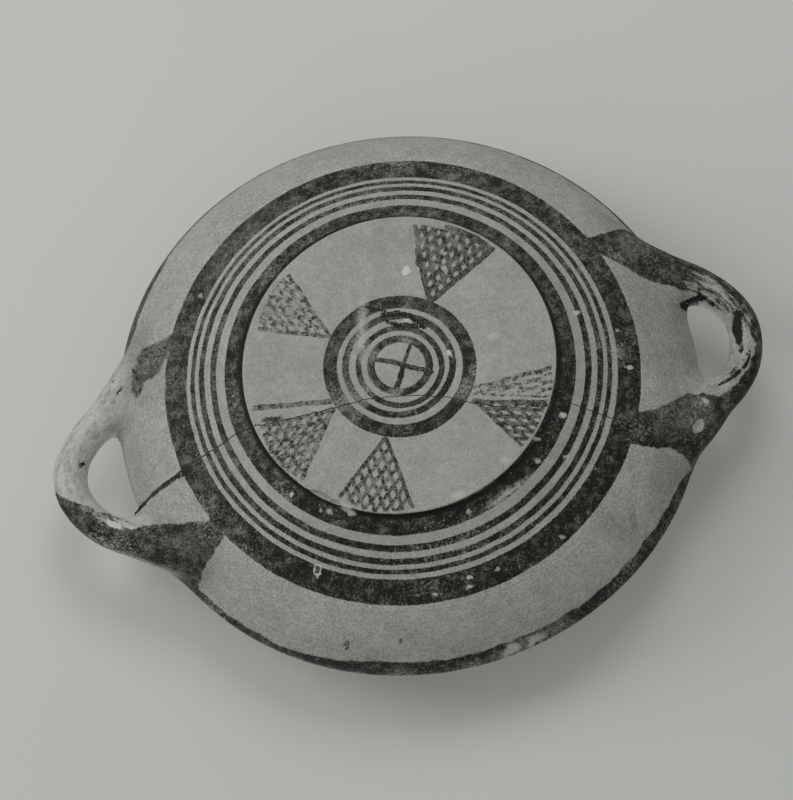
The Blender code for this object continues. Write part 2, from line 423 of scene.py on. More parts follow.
def wheel_tree():
    inputs = [('Geometry', 'Geometry', None), ('Steps round', 'Int', 400)]
    inputs += [(k, 'Float', v) for k, v in WHEEL.items()
               if k != 'Steps round']
    inputs += [('Clay', 'Material', None)]
    tree, b, g, end = tree_with('GeometryNodeTree', 'turned_clay', inputs,
                                [('Geometry', 'Geometry')])
    size = b.put('GeometryNodeAttributeDomainSize', {0: g['Geometry']})
    columns = b.add(g['Steps round'], 1.0)
    sheet = b.put('GeometryNodeMeshGrid',
                  {'Vertices X': size.outputs['Point Count'],
                   'Vertices Y': columns}).outputs[0]
    i = index_of(b)
    row = b.math('FLOOR', b.math('DIVIDE', b.add(i, 0.5), columns))
    column = b.sub(i, b.mul(row, columns))
    angle = b.mul(b.math('DIVIDE', column, g['Steps round']), math.tau)
    r, _, z = b.split(look_up(b, g['Geometry'], row))
    place = b.join(b.mul(r, b.math('COSINE', angle)),
                   b.mul(r, b.math('SINE', angle)), z)
    bent = b.put('GeometryNodeSetPosition', {0: sheet, 'Position': place})
    closed = b.put('GeometryNodeMergeByDistance',
                   {0: bent.outputs[0], 'Distance': SAME_POINT})

    # Finger rings: noise that is long round the bowl and short across it.
    at = b.put('GeometryNodeInputPosition').outputs[0]
    normal = b.put('GeometryNodeInputNormal').outputs[0]
    x, y, z = b.split(at)
    out = b.vector('LENGTH', b.join(x, y, 0.0))
    across = b.math('DIVIDE', b.add(out, z), g['Ring width'])
    round_it = b.vector('NORMALIZE', b.join(x, y, 0.0))
    stretched = b.vector(
        'ADD', b.vector('SCALE', round_it, scale=g['Ring wander']),
        b.join(0.0, 0.0, across))
    rings = b.noise(stretched, 1.0, 1.0, 0.5, g['Seed'])
    off_foot = b.ramp(z, RINGS_FROM, RINGS_FULL)
    depth = b.mul(b.mul(b.sub(g['Ring middle'], rings), g['Ring depth']),
                  off_foot)
    ringed = b.put('GeometryNodeSetPosition',
                   {0: closed.outputs[0],
                    'Offset': b.vector('SCALE', normal, scale=depth)})
    outward = b.put('GeometryNodeFlipFaces', {0: ringed.outputs[0]})
    smooth = b.put('GeometryNodeSetShadeSmooth', {0: outward.outputs[0]})
    end_with_clay(b, smooth.outputs[0], end, g['Clay'])
    return tree


slip = bpy.data.materials.new('painted_slip')
raw_clay = bpy.data.materials.new('broken_clay')
old_dirt = bpy.data.materials.new('dirt_in_the_mend')
wheel = wheel_tree()
bowl = line.copy()
bowl.data = line.data.copy()
bowl.name = 'painted_bowl'
bpy.context.scene.collection.objects.link(bowl)
bowl = run_tree(bowl, wheel, {**WHEEL, 'Clay': slip})


def volume_and_gaps(mesh):
    """The volume in cubic centimetres, and how many edges aren't closed."""
    bm = bmesh.new()
    bm.from_mesh(mesh)
    open_edges = sum(1 for e in bm.edges if len(e.link_faces) != 2)
    volume = bm.calc_volume(signed=True) * 100 ** 3
    bm.free()
    return round(volume, 1), open_edges


print('turned body:', len(bowl.data.polygons), 'faces, volume and open edges',
      volume_and_gaps(bowl.data))

# %% [markdown]
# ## Out of true
#
# No hand-made bowl is a perfect circle, and this one was also put back
# together from sherds. The lip wanders in and out by a millimetre or so, in
# a few broad lobes, and on one side the lower sherd stands out where the
# mend reaches the lip. The foot is a little oval. All points of the upper
# wall move together, so the clay keeps its thickness.

# %% Push the body out of true
LIP_SHIFT = 0.0006
LIP_LOBES = ((1, 0.0010, 175.0), (2, 0.0012, 27.0), (3, 0.0007, -50.0),
             (4, 0.0003, 39.0))
LOBES_START = 0.1000
FOOT_OVAL, FOOT_OVAL_ANGLE = 0.0008, math.radians(-47.0)
OVAL_FROM, OVAL_TO, OVAL_HIGH = 0.060, 0.086, 0.008
SAG_START, SAG, SAG_SWAY, SAG_TURN = 0.085, 0.00022, 0.00010, 0.6
SHERD_ANGLE, SHERD_SPAN = math.radians(-10.4), math.radians(24.0)
SHERD_STEP = 0.0030
LIP_RADIUS, FOOT_RADIUS = SECTION['Lip radius'], SECTION['Foot radius']


def ease(x):
    """From 0 to 1 with level ends, for arrays."""
    x = np.clip(x, 0.0, 1.0)
    return x * x * (3.0 - 2.0 * x)


def lip_shift(angle):
    """How far the lip stands out of a true circle."""
    shift = np.full_like(angle, LIP_SHIFT)
    for count, size, start in LIP_LOBES:
        shift += size * np.cos(count * (angle - math.radians(start)))
    turn = (SHERD_ANGLE - angle) % math.tau
    return shift + SHERD_STEP * (1.0 - ease(turn / SHERD_SPAN)) * (
        turn < SHERD_SPAN)


def shift_of(radius, angle, height):
    """How far a point of the true body moves out along its radius."""
    share = ease((radius - LOBES_START) / (LIP_RADIUS - LOBES_START))
    inside = (radius - OVAL_FROM) / (FOOT_RADIUS - OVAL_FROM)
    outside = (OVAL_TO - radius) / (OVAL_TO - FOOT_RADIUS)
    oval = FOOT_OVAL * np.cos(2.0 * (angle - FOOT_OVAL_ANGLE))
    low = height < SECTION['Foot height'] + OVAL_HIGH
    return lip_shift(angle) * share + low * oval * ease(
        np.minimum(inside, outside))


def sag_of(radius, angle):
    """How far the clay has sunk towards the lip."""
    high = ease((radius - SAG_START) / (LIP_RADIUS - SAG_START))
    return high * (SAG + SAG_SWAY * np.cos(2.0 * angle - SAG_TURN))


def points_of(mesh):
    co = np.zeros(len(mesh.vertices) * 3)
    mesh.vertices.foreach_get('co', co)
    return co.reshape(-1, 3)


def put_points(mesh, points):
    mesh.vertices.foreach_set('co', np.ascontiguousarray(points).ravel())
    mesh.update()


def out_of_true(points):
    """The wander of the whole body, and a slight sag of the lip."""
    radius = np.hypot(points[:, 0], points[:, 1])
    angle = np.arctan2(points[:, 1], points[:, 0])
    wide = 1.0 + shift_of(radius, angle, points[:, 2]) / np.maximum(
        radius, 1e-6)
    return np.column_stack([points[:, 0] * wide, points[:, 1] * wide,
                            points[:, 2] - sag_of(radius, angle)])


put_points(bowl.data, out_of_true(points_of(bowl.data)))
reach = points_of(bowl.data)
print('body out of true, mm:', np.round(reach.min(0) * 1000, 2),
      np.round(reach.max(0) * 1000, 2))

# %% [markdown]
# ## The handles
#
# Each handle on the real bowl is one roll of clay, as thick as a thumb, bent
# into a loop and pressed onto the wall under the lip. In Geometry Nodes that
# is a line of stations with a thickness at each, smoothed into a curve, with
# a circle run along it. The tree gives the roll a little unevenness where
# fingers squeezed it.

# %% Roll the handles
# Each station: out from the axis, along Y, height, and the roll's radius.
HANDLE_ROUTES = {
    'east': (
        (0.099, 0.0573, 0.041, 0.0096), (0.12, 0.0401, 0.0402, 0.0095),
        (0.1296, 0.0316, 0.0411, 0.0088), (0.1395, 0.023, 0.0419, 0.0083),
        (0.1502, 0.0147, 0.0427, 0.008), (0.1584, 0.0044, 0.0427, 0.008),
        (0.161, -0.008, 0.0427, 0.008), (0.157, -0.021, 0.0427, 0.0077),
        (0.148, -0.032, 0.0423, 0.0079), (0.135, -0.0401, 0.0411, 0.009),
        (0.12, -0.0485, 0.0402, 0.0106), (0.098, -0.06, 0.0415, 0.0108),
    ),
    'west': (
        (0.1, 0.0583, 0.0415, 0.009), (0.121, 0.0396, 0.0402, 0.0087),
        (0.1341, 0.0293, 0.0413, 0.0084), (0.1466, 0.02, 0.0422, 0.0081),
        (0.156, 0.0099, 0.0427, 0.0078), (0.161, -0.001, 0.0427, 0.0077),
        (0.1612, -0.012, 0.0427, 0.0077), (0.1572, -0.0234, 0.0427, 0.0077),
        (0.1495, -0.0321, 0.0423, 0.0081), (0.1398, -0.0387, 0.0413, 0.009),
        (0.125, -0.0498, 0.0402, 0.0107), (0.098, -0.067, 0.0415, 0.011),
    ),
}
SIDES = {'east': 1.0, 'west': -1.0}
ROLL = {'Rings': 110, 'Sides': 34, 'Squeeze': 0.00028, 'Lumps': 70.0,
        'Lump middle': 0.72, 'Seed': 3.0}
MELT, FINE_MELT = 0.00001, 0.000002


def roll_tree():
    inputs = [('Geometry', 'Geometry', None)]
    inputs += [(k, 'Int' if isinstance(v, int) else 'Float', v)
               for k, v in ROLL.items()]
    inputs += [('Clay', 'Material', None)]
    tree, b, g, end = tree_with('GeometryNodeTree', 'clay_roll', inputs,
                                [('Geometry', 'Geometry')])
    curve = b.put('GeometryNodeMeshToCurve', {0: g['Geometry']})
    thick = b.put('GeometryNodeInputNamedAttribute',
                  {'Name': 'thickness'}, data_type='FLOAT').outputs[0]
    sized = b.put('GeometryNodeSetCurveRadius', {0: curve.outputs[0],
                                                 'Radius': thick})
    bent = b.put('GeometryNodeCurveSplineType', {0: sized.outputs[0]},
                 spline_type='CATMULL_ROM')
    even = b.put('GeometryNodeResampleCurve',
                 {0: bent.outputs[0], 'Count': g['Rings']}, mode='COUNT')
    circle = b.put('GeometryNodeCurvePrimitiveCircle',
                   {'Resolution': g['Sides'], 'Radius': 1.0})
    radius = b.put('GeometryNodeInputRadius').outputs[0]
    tube = b.put('GeometryNodeCurveToMesh',
                 {'Curve': even.outputs[0],
                  'Profile Curve': circle.outputs[0], 'Scale': radius,
                  'Fill Caps': True})
    at = b.put('GeometryNodeInputPosition').outputs[0]
    normal = b.put('GeometryNodeInputNormal').outputs[0]
    lumps = b.noise(at, g['Lumps'], 1.0, 0.5, g['Seed'])
    depth = b.mul(b.sub(lumps, g['Lump middle']), g['Squeeze'])
    pressed = b.put('GeometryNodeSetPosition',
                    {0: tube.outputs[0],
                     'Offset': b.vector('SCALE', normal, scale=depth)})
    smooth = b.put('GeometryNodeSetShadeSmooth', {0: pressed.outputs[0]})
    end_with_clay(b, smooth.outputs[0], end, g['Clay'])
    return tree


def weld(mesh, distance):
    """Join points that lie on each other, and turn all faces outwards."""
    bm = bmesh.new()
    bm.from_mesh(mesh)
    bmesh.ops.remove_doubles(bm, verts=bm.verts, dist=distance)
    bmesh.ops.recalc_face_normals(bm, faces=bm.faces)
    bm.to_mesh(mesh)
    bm.free()


rolling = roll_tree()
rolls = {}
for side, route in HANDLE_ROUTES.items():
    stations = [(SIDES[side] * out, along, high)
                for out, along, high, thick in route]
    roll = chain_object('roll_' + side, stations, [s[3] for s in route])
    roll = run_tree(roll, rolling, {**ROLL, 'Clay': slip})
    weld(roll.data, MELT)
    rolls[side] = roll
    print(roll.name, len(roll.data.polygons), 'faces, volume and open edges',
          volume_and_gaps(roll.data),
          np.round(points_of(roll.data).min(0) * 1000, 1),
          np.round(points_of(roll.data).max(0) * 1000, 1))

# %% [markdown]
# ## Joining the handles on
#
# The potter presses the roll's ends onto the wall and smears the clay over
# the joint. Here each roll is first cut off inside the wall, by a solid that
# fills the hollow up to the middle of the clay, and then united with the
# body, so the bowl stays one closed piece.

# %% Cut the rolls off in the wall and unite them with the body
def boolean(obj, tool, operation):
    """Join or cut one solid with another, exactly."""
    modifier = obj.modifiers.new(operation, 'BOOLEAN')
    modifier.operation = operation
    modifier.solver = 'EXACT'
    modifier.material_mode = 'TRANSFER'
    modifier.object = tool
    return settle(obj)


HOLLOW_TOP = 0.080
HANDLES_FROM = 0.06


def middle_of_clay(profile, top):
    """A closed section up the middle of the clay, and level above the lip."""
    inner = profile[lip_at:]
    outer = profile[:lip_at]
    middle = []
    for r, z in inner[::2]:
        nearest = np.hypot(outer[:, 0] - r, outer[:, 1] - z).argmin()
        middle.append(((r + outer[nearest, 0]) / 2,
                       (z + outer[nearest, 1]) / 2))
    middle[-1] = (0.0, middle[-1][1])
    first = middle[0]
    return [(0.0, top), (first[0], top)] + middle


hollow = chain_object('hollow', [
    (r, 0.0, z) for r, z in middle_of_clay(section, HOLLOW_TOP)])
hollow = run_tree(hollow, wheel, {**WHEEL, 'Steps round': 100,
                                  'Ring depth': 0.0, 'Clay': slip})
put_points(hollow.data, out_of_true(points_of(hollow.data)))
weld(hollow.data, MELT)
print('hollow:', volume_and_gaps(hollow.data))
for roll in rolls.values():
    boolean(roll, hollow, 'DIFFERENCE')
    boolean(bowl, roll, 'UNION')
print('united:', len(bowl.data.polygons), 'faces,',
      volume_and_gaps(bowl.data))

# %% [markdown]
# ## Smearing the joints
#
# A bare union meets in a hard crease. Wet clay smeared with a thumb runs
# from one form into the other in a hollow curve a few millimetres wide. The
# same curve comes from distances: each point knows how far it is from the
# body and from the roll, and where both are small a smooth minimum of the
# two pulls it out of the crease. The points near the joint are also spread
# evenly, so no sliver is left by the cut.

# %% Distances to the body and to the rolls
FAR, GUESSES = 1.0, 6


def true_body_distance(points):
    """Signed distance to the turned body, before any fillet or damage."""
    x, y, z = points.T
    angle = np.arctan2(y, x)
    out = np.hypot(x, y)
    z = z + sag_of(out, angle)
    r = out.copy()
    for _ in range(GUESSES):
        r = out - shift_of(r, angle, z)
    near = np.full(len(r), FAR)
    crossings = np.zeros(len(r), int)
    run = np.zeros(len(r))
    gone = 0.0
    for (r0, z0), (r1, z1) in zip(section, section[1:]):
        length = math.hypot(r1 - r0, z1 - z0)
        t = np.clip(((r - r0) * (r1 - r0) + (z - z0) * (z1 - z0))
                    / length ** 2, 0.0, 1.0)
        away = np.hypot(r - r0 - t * (r1 - r0), z - z0 - t * (z1 - z0))
        run = np.where(away < near, gone + t * length, run)
        near = np.minimum(near, away)
        gone += length
        if z0 != z1:
            crossings += ((z0 > z) != (z1 > z)) & (
                r < (r1 - r0) * (z - z0) / (z1 - z0) + r0)
    inside = crossings % 2 == 1
    return np.where(inside, -near, near), run


def smooth_route(stations, steps=10):
    """A Catmull-Rom line through the stations, as an array."""
    s = np.array([stations[0], *stations, stations[-1]], float)
    t = (np.arange(steps) / steps)[:, None]
    parts = [0.5 * (2 * b + (c - a) * t + (2 * a - 5 * b + 4 * c - d) * t ** 2
                    + (-a + 3 * b - 3 * c + d) * t ** 3)
             for a, b, c, d in zip(s, s[1:], s[2:], s[3:])]
    return np.vstack(parts + [s[-1:]])


def roll_distance(points, side):
    """Distance to one roll, how far along it, and how far out and up."""
    line = smooth_route(HANDLE_ROUTES[side])
    line[:, 0] *= SIDES[side]
    near = np.full(len(points), FAR)
    along = np.zeros(len(points))
    off = np.zeros((len(points), 2))
    gone = 0.0
    for p, q in zip(line, line[1:]):
        step = q[:3] - p[:3]
        length = np.linalg.norm(step)
        t = np.clip((points - p[:3]) @ step / length ** 2, 0.0, 1.0)
        away = points - p[:3] - t[:, None] * step
        gap = np.linalg.norm(away, axis=1) - (p[3] + t * (q[3] - p[3]))
        closer = gap < near
        near = np.where(closer, gap, near)
        along = np.where(closer, gone + t * length, along)
        outwards = np.array([-step[1], step[0]]) / length * SIDES[side]
        off[closer] = np.column_stack([away[:, :2] @ outwards,
                                       away[:, 2]])[closer]
        gone += length
    return near, along, off


LIP_RUN = float(np.hypot(*np.diff(section[:lip_at + 1], axis=0).T).sum())
print('from the axis to the lip along the clay, mm:',
      round(LIP_RUN * 1000, 1))


# %% The smeared shape, as one distance
SMEAR = 0.0062
SMEAR_IN_CORNERS = {'east': 0.0088, 'west': 0.0135}
LOOP_MIDDLE, CORNER_FROM, CORNER_WIDTH = -0.006, 0.036, 0.012
SMEAR_TOP = 0.0505
SMEAR_END, SMEAR_FADE = 0.0010, 0.0045


def smear_reach(points, side):
    """How wide the smear is: widest in the two corners of a loop."""
    off = np.abs(points[:, 1] - LOOP_MIDDLE)
    corner = ease((CORNER_FROM - off) / CORNER_WIDTH)
    return SMEAR + (SMEAR_IN_CORNERS[side] - SMEAR) * corner


def smeared(points, side):
    """Distance to body and roll together, with the crease filled."""
    body, run = true_body_distance(points)
    roll, _, _ = roll_distance(points, side)
    outside = ease((LIP_RUN + SMEAR_END - run) / SMEAR_FADE)
    reach = smear_reach(points, side) * outside + 1e-5
    mix = np.clip(0.5 + 0.5 * (roll - body) / reach, 0.0, 1.0)
    both = roll + (body - roll) * mix - reach * mix * (1.0 - mix)
    # The smear never stands above the lip, and on the inside of the wall
    # only the body counts.
    both = np.minimum(body, np.maximum(both, points[:, 2] - SMEAR_TOP))
    return both * outside + body * (1.0 - outside)


def slope_of(distance, points, tiny=2e-5):
    """Which way a distance grows, by small steps along each axis."""
    return np.column_stack([
        (distance(points + step) - distance(points - step)) / (2 * tiny)
        for step in np.eye(3) * tiny])


# %% Pull the points near the joints onto the smeared shape
BAND_EXTRA, BAND_PAST_LIP = 0.0023, 0.0020
SLIDE_FADE, SLIDE_FADE_LIP = 0.004, 0.0040
SMEAR_STROKES, SLIDE = 26, 0.6
LEAST_SLOPE = 0.3


def smear_joint(mesh, side):
    """Even out the points near one joint, and put them on the smear."""
    points = points_of(mesh)
    edges = np.zeros(len(mesh.edges) * 2, int)
    mesh.edges.foreach_get('vertices', edges)
    edges = edges.reshape(-1, 2)
    body, run = true_body_distance(points)
    roll, _, _ = roll_distance(points, side)
    on_side = points[:, 0] * SIDES[side] > HANDLES_FROM
    outer = run < LIP_RUN + BAND_PAST_LIP
    wide = smear_reach(points, side) + BAND_EXTRA
    band = on_side & outer & (np.abs(body) < wide) & (np.abs(roll) < wide)
    # How freely a point may slide: fully at the crease, not at the band's rim
    free = ease((wide - np.maximum(np.abs(body), np.abs(roll)))
                / SLIDE_FADE)
    free *= ease((LIP_RUN + BAND_PAST_LIP - run) / SLIDE_FADE_LIP)
    chosen = np.flatnonzero(band)
    number = -np.ones(len(points), int)
    number[chosen] = np.arange(len(chosen))
    touching = edges[(number[edges[:, 0]] >= 0) | (number[edges[:, 1]] >= 0)]
    for _ in range(SMEAR_STROKES):
        total = np.zeros_like(points)
        count = np.zeros(len(points))
        for one, other in ((0, 1), (1, 0)):
            np.add.at(total, touching[:, one], points[touching[:, other]])
            np.add.at(count, touching[:, one], 1.0)
        mean = total[chosen] / np.maximum(count[chosen], 1.0)[:, None]
        here = points[chosen]
        moved = here + SLIDE * free[chosen, None] * (mean - here)
        value = smeared(moved, side)
        way = slope_of(lambda p: smeared(p, side), moved)
        size = np.maximum((way ** 2).sum(1), LEAST_SLOPE)
        points[chosen] = moved - (value / size)[:, None] * way
    put_points(mesh, points)
    return len(chosen)


for side in SIDES:
    print('points smeared at the', side, 'joint:',
          smear_joint(bowl.data, side))
print('smeared:', volume_and_gaps(bowl.data))
for tool in (hollow, line, *rolls.values()):
    bpy.data.objects.remove(tool)

# %% [markdown]
# ## The mend and the knocks
#
# The bowl broke into two big sherds, and the line of the mend still shows as
# a fine groove full of dirt, widest where it nears the lip. A groove is the
# hollow left by a thin worm that follows the line, so the tree that rolled
# the handles makes it too, much thinner, and it is cut away. The faces that
# a cut leaves take the cutter's material, so the groove is dirty and a chip
# shows bare clay.

# %% Put points of the plan onto the wall
outer_line = section[:section[:, 0].argmax() + 1]
inner_line = section[lip_at:][::-1]


def on_body(plan, inside=False):
    """Heights for points given in plan, on the outer or inner surface."""
    plan = np.asarray(plan, float)
    radius = np.hypot(plan[:, 0], plan[:, 1])
    angle = np.arctan2(plan[:, 1], plan[:, 0])
    wall = inner_line if inside else outer_line
    true = radius.copy()
    for _ in range(GUESSES):
        height = np.interp(true, wall[:, 0], wall[:, 1])
        true = radius - shift_of(true, angle, height)
    return np.column_stack([plan, height - sag_of(true, angle)])


print('points on the outer and inner line:', len(outer_line),
      len(inner_line))


# %% The line of the mend, and its groove
# Along X, along Y and half the groove's width, all in millimetres.
MEND_OUTSIDE = (
    (137.5, -26.8, 1.5), (132, -25.3, 1.4), (124, -23, 1.4), (119, -22.4, 1.2),
    (115, -21.8, 0.9), (111, -20.4, 0.55), (106.5, -19, 0.38),
    (96, -16.9, 0.34), (86.7, -15.3, 0.32), (80.7, -13.3, 0.32),
    (70.3, -14, 0.34), (52, -14.5, 0.28), (31, -14.3, 0.28),
    (20.4, -13.6, 0.26), (11.3, -14.7, 0.24), (-2.6, -17.2, 0.24),
    (-14.4, -20.7, 0.26), (-24.8, -25.7, 0.28), (-34.9, -30.4, 0.28),
    (-45.3, -33.5, 0.26), (-53.3, -33.1, 0.24), (-62.6, -37, 0.24),
    (-70.7, -35.4, 0.26), (-88.1, -44.7, 0.26), (-100.8, -48.1, 0.26),
    (-107, -50.5, 0.22),
)
MEND_INSIDE = (
    (131, -25, 0.8), (118, -22, 0.5), (98, -15, 0.3), (70, -14, 0.26),
    (31, -14.3, 0.24), (0, -16.8, 0.22), (-25, -25.7, 0.24),
    (-53, -33.1, 0.22), (-88, -44.7, 0.24), (-120, -56.5, 0.3),
    (-124, -58.5, 0.3),
)


def broken_line(stations, seed, step=1.5, jag=0.22):
    """A line through the stations with the small jags of a break."""
    rng = np.random.default_rng(seed)
    points = []
    for p, q in zip(np.array(stations), np.array(stations[1:])):
        count = max(int(np.hypot(*(q - p)[:2]) / step), 1)
        for k in range(count):
            points.append(p + (q - p) * k / count)
    points.append(np.array(stations[-1]))
    points = np.array(points)
    points[1:-1, :2] += rng.normal(0.0, jag, (len(points) - 2, 2))
    return points / 1000


WORM = {**ROLL, 'Sides': 7, 'Squeeze': 0.00008, 'Clay': old_dirt}
ATTEMPTS, OTHER_SEED, LEAST_LEFT = 6, 100, 0.98


def groove_worm(stations, seed, inside):
    """A thin worm along the broken line, on one surface of the wall."""
    points = broken_line(stations, seed)
    worm = chain_object('worm', on_body(points[:, :2], inside),
                        points[:, 2])
    run_tree(worm, rolling, {**WORM, 'Rings': 2 * len(points)})
    weld(worm.data, FINE_MELT)
    return worm


def cut_groove(stations, seed, inside):
    """Cut the groove; a cut that goes wrong is tried with other jags."""
    before, volume = bowl.data.copy(), volume_and_gaps(bowl.data)[0]
    for attempt in range(ATTEMPTS):
        worm = groove_worm(stations, seed + OTHER_SEED * attempt, inside)
        boolean(bowl, worm, 'DIFFERENCE')
        bpy.data.objects.remove(worm)
        left, gaps = volume_and_gaps(bowl.data)
        if gaps == 0 and LEAST_LEFT * volume < left <= volume:
            break
        bowl.data = before.copy()
    print('groove', 'inside:' if inside else 'outside:', (left, gaps),
          'at attempt', attempt + 1)


cut_groove(MEND_OUTSIDE, seed=11, inside=False)
cut_groove(MEND_INSIDE, seed=12, inside=True)

# %% [markdown]
# ## Chips
#
# A chip is knocked off in a shallow shell shape. The cutter is a lumpy
# pebble: an icosphere stretched to size, roughened by noise, turned and put
# where the blow fell. One tree makes every pebble from its own inputs.

# %% Build the tree that makes a pebble, and knock the chips out
def pebble_tree():
    inputs = [('Geometry', 'Geometry', None),
              ('Half sizes', 'Vector', (0.002, 0.001, 0.001)),
              ('Turn', 'Vector', (0, 0, 0)), ('Place', 'Vector', (0, 0, 0)),
              ('Roughness', 'Float', 0.26), ('Lumps', 'Float', 1.6),
              ('Seed', 'Float', 20.0), ('Clay', 'Material', None)]
    tree, b, g, end = tree_with('GeometryNodeTree', 'pebble', inputs,
                                [('Geometry', 'Geometry')])
    ball = b.put('GeometryNodeMeshIcoSphere',
                 {'Radius': 1.0, 'Subdivisions': 4})
    at = b.put('GeometryNodeInputPosition').outputs[0]
    lumps = b.noise(at, g['Lumps'], 3.0, 0.6, g['Seed'])
    size = b.math('MULTIPLY_ADD', b.sub(lumps, 0.5),
                  b.mul(g['Roughness'], 2.0), 1.0)
    shaped = b.put('GeometryNodeSetPosition',
                   {0: ball.outputs[0],
                    'Position': b.vector(
                        'MULTIPLY', b.vector('SCALE', at, scale=size),
                        g['Half sizes'])})
    turn = b.put('FunctionNodeEulerToRotation', {0: g['Turn']})
    placed = b.put('GeometryNodeTransform', {0: shaped.outputs[0]})
    b.feed(placed.inputs['Translation'], g['Place'])
    b.feed(placed.inputs['Rotation'], turn.outputs[0])
    end_with_clay(b, placed.outputs[0], end, g['Clay'])
    return tree


def under_roll(side, x, y):
    """The height of a handle's underside below one point of the plan."""
    heights = np.linspace(0.020, 0.045, 251)
    column = np.array([(x, y, z) for z in heights])
    return float(heights[np.abs(roll_distance(column, side)[0]).argmin()])


def round_foot(degrees, radius, height):
    turn = math.radians(degrees)
    return (radius * math.cos(turn), radius * math.sin(turn), height)


# Where, half sizes along, across and up, and the turn in degrees.
CHIPS = (
    ('foot', round_foot(-48.5, 0.0727, -0.0002), (0.0062, 0.0021, 0.0019),
     (0, 0, 41.5)),
    ('foot', round_foot(-53.5, 0.0729, 0.0002), (0.0030, 0.0016, 0.0015),
     (0, 0, 36.5)),
    ('root', (-0.1275, -0.0534, under_roll('west', -0.1275, -0.0534) - 0.0007),
     (0.0050, 0.0035, 0.0013), (-20, 0, -50)),
    ('lip', round_foot(-88.0, 0.1362, 0.0486), (0.0030, 0.0013, 0.0016),
     (0, 0, 2)),
    ('lip', round_foot(-62.0, 0.1358, 0.0500), (0.0022, 0.0012, 0.0012),
     (0, 0, 28)),
    ('lip', round_foot(-104.5, 0.1360, 0.0498), (0.0034, 0.0012, 0.0013),
     (0, 0, -14)),
    ('lip', round_foot(97.0, 0.1350, 0.0500), (0.0026, 0.0011, 0.0014),
     (0, 0, 7)),
    ('lip', round_foot(141.0, 0.1352, 0.0503), (0.0019, 0.0011, 0.0011),
     (0, 0, 51)),
)
FIRST_SEED = 20.0
pebble = pebble_tree()
for number, (where, place, half, turn) in enumerate(CHIPS):
    stone = mesh_object('stone', [(0, 0, 0)])
    stone = run_tree(stone, pebble, {
        'Half sizes': half, 'Turn': [math.radians(a) for a in turn],
        'Place': place, 'Roughness': 0.26, 'Lumps': 1.6,
        'Seed': FIRST_SEED + number, 'Clay': raw_clay})
    boolean(bowl, stone, 'DIFFERENCE')
    bpy.data.objects.remove(stone)
    print(where, 'chip:', volume_and_gaps(bowl.data))

# %% [markdown]
# ## What the paint has to know
#
# Paint follows the clay, so each point of the mesh is told where it is: how
# far from the lip along the wall, whether it is on a handle, where it lies
# along the roll, and how far inside the plan of the dark paint at the
# handles' roots. The material reads these as attributes; the rings and the
# triangles are drawn from object coordinates alone.

# %% The plan of the dark paint at the handles' roots
# Outlines in millimetres; the west ones are drawn with X turned over.
ROOT_PAINT = (
    ('east', (
        (97, -42), (101, -46), (110, -43.3), (116, -41), (122, -39),
        (127, -37.2), (132, -36.6), (136, -37.5), (139, -36), (141, -33.5),
        (144, -29.5), (147, -26.5), (151, -24), (154, -21), (157, -19),
        (160, -17), (163, -15), (166, -12), (168.5, -8), (185, -8), (185, -90),
        (124, -82), (115.5, -71.5), (107, -63.5), (102, -60), (98, -57),
        (95, -55),
    )),
    ('east', (
        (97, 48), (104, 47), (109, 47.5), (114, 48), (117.5, 45), (120, 39),
        (123, 34), (124, 28), (121.5, 24), (118, 26), (116.5, 30), (113, 29),
        (108.5, 30.5), (105, 34.5), (101, 39), (97, 42),
    )),
    ('west', (
        (98, 50), (101, 46.5), (107, 49), (112, 51), (118, 53), (122, 52),
        (130, 66), (185, 66), (185, -20), (165, -20), (161, -8), (158, -2),
        (151, 5), (148, 9), (145, 13), (141, 15.8), (137, 17.6), (133, 19.4),
        (129, 21), (125, 22), (120, 25), (115, 29), (110, 33), (104, 37),
        (99, 40),
    )),
    ('west', (
        (97, -44), (110, -42), (120, -38), (127, -35), (133, -36.5),
        (138, -39), (141, -40), (146, -38), (152, -34), (158, -28), (162, -22),
        (165, -17), (168, -12), (185, -12), (185, -90), (130, -82), (121, -68),
        (117, -63.5), (112, -60.5), (107, -60), (100, -58.6), (92.5, -56.5),
    )),
)
print('outlines of root paint:', len(ROOT_PAINT))

# %% Single strokes on the handles, and how far a point is from a mark
# Single strokes: from, to, and the width at each end.
HANDLE_STROKES_AND_CREVICE_SHADE = (
    ('west', 160, -1.5, 158, -8, 3.6, 5), ('west', 158, -8, 157.3, -14, 5, 3),
    ('west', 157.3, -14, 156.6, -20, 2.6, 1.6),
    ('west', 160.5, -20, 157.5, -27, 1.4, 2),
    ('west', 157.5, -27, 150, -31.5, 1.6, 2.4),
    ('west', 150, -31.5, 142, -34.5, 2.2, 1.2),
    ('west', 154, -25.6, 148, -30, 0.5, 1),
    ('west', 161, 15, 164.5, -5, 1.1, 1.2), ('west', 150, 8, 157, 5, 0.8, 1),
    ('west', 157, 5, 159.5, 0, 1, 1.8),
    # These five west strokes darken the crevice at the loop's inner corner:
    # painted shade.
    ('west', 137, 11, 140.6, 11.6, 3.4, 3.4),
    ('west', 140.6, 11.6, 145, 11.8, 3.2, 2.4),
    ('west', 145, 11.8, 147.4, 10.8, 2.4, 1.2),
    ('west', 145, 12, 146.1, 17, 2, 0.7),
    ('west', 147.4, 10.8, 152, 5, 0.9, 0.5),
    ('east', 153.2, 1.6, 154.6, 0.2, 1.8, 1.6),
    ('east', 132.1, 35.9, 129.7, 37.2, 0.9, 0.7),
    ('east', 129.7, 37.2, 122.6, 34.1, 0.6, 0.5),
    ('east', 131.2, 29.7, 127.2, 32, 1.2, 0.9),
    ('east', 121, 41, 119.5, 33, 0.8, 1.6),
    ('east', 151.5, -24, 146, -26.5, 0.8, 1.2),
    ('east', 146, -26.5, 137, -33.2, 1.2, 0.8),
    ('east', 156, -31, 147, -38, 1.6, 1),
)


HANDLE_PLAN, NOT_NEAR = 60.0, 60.0


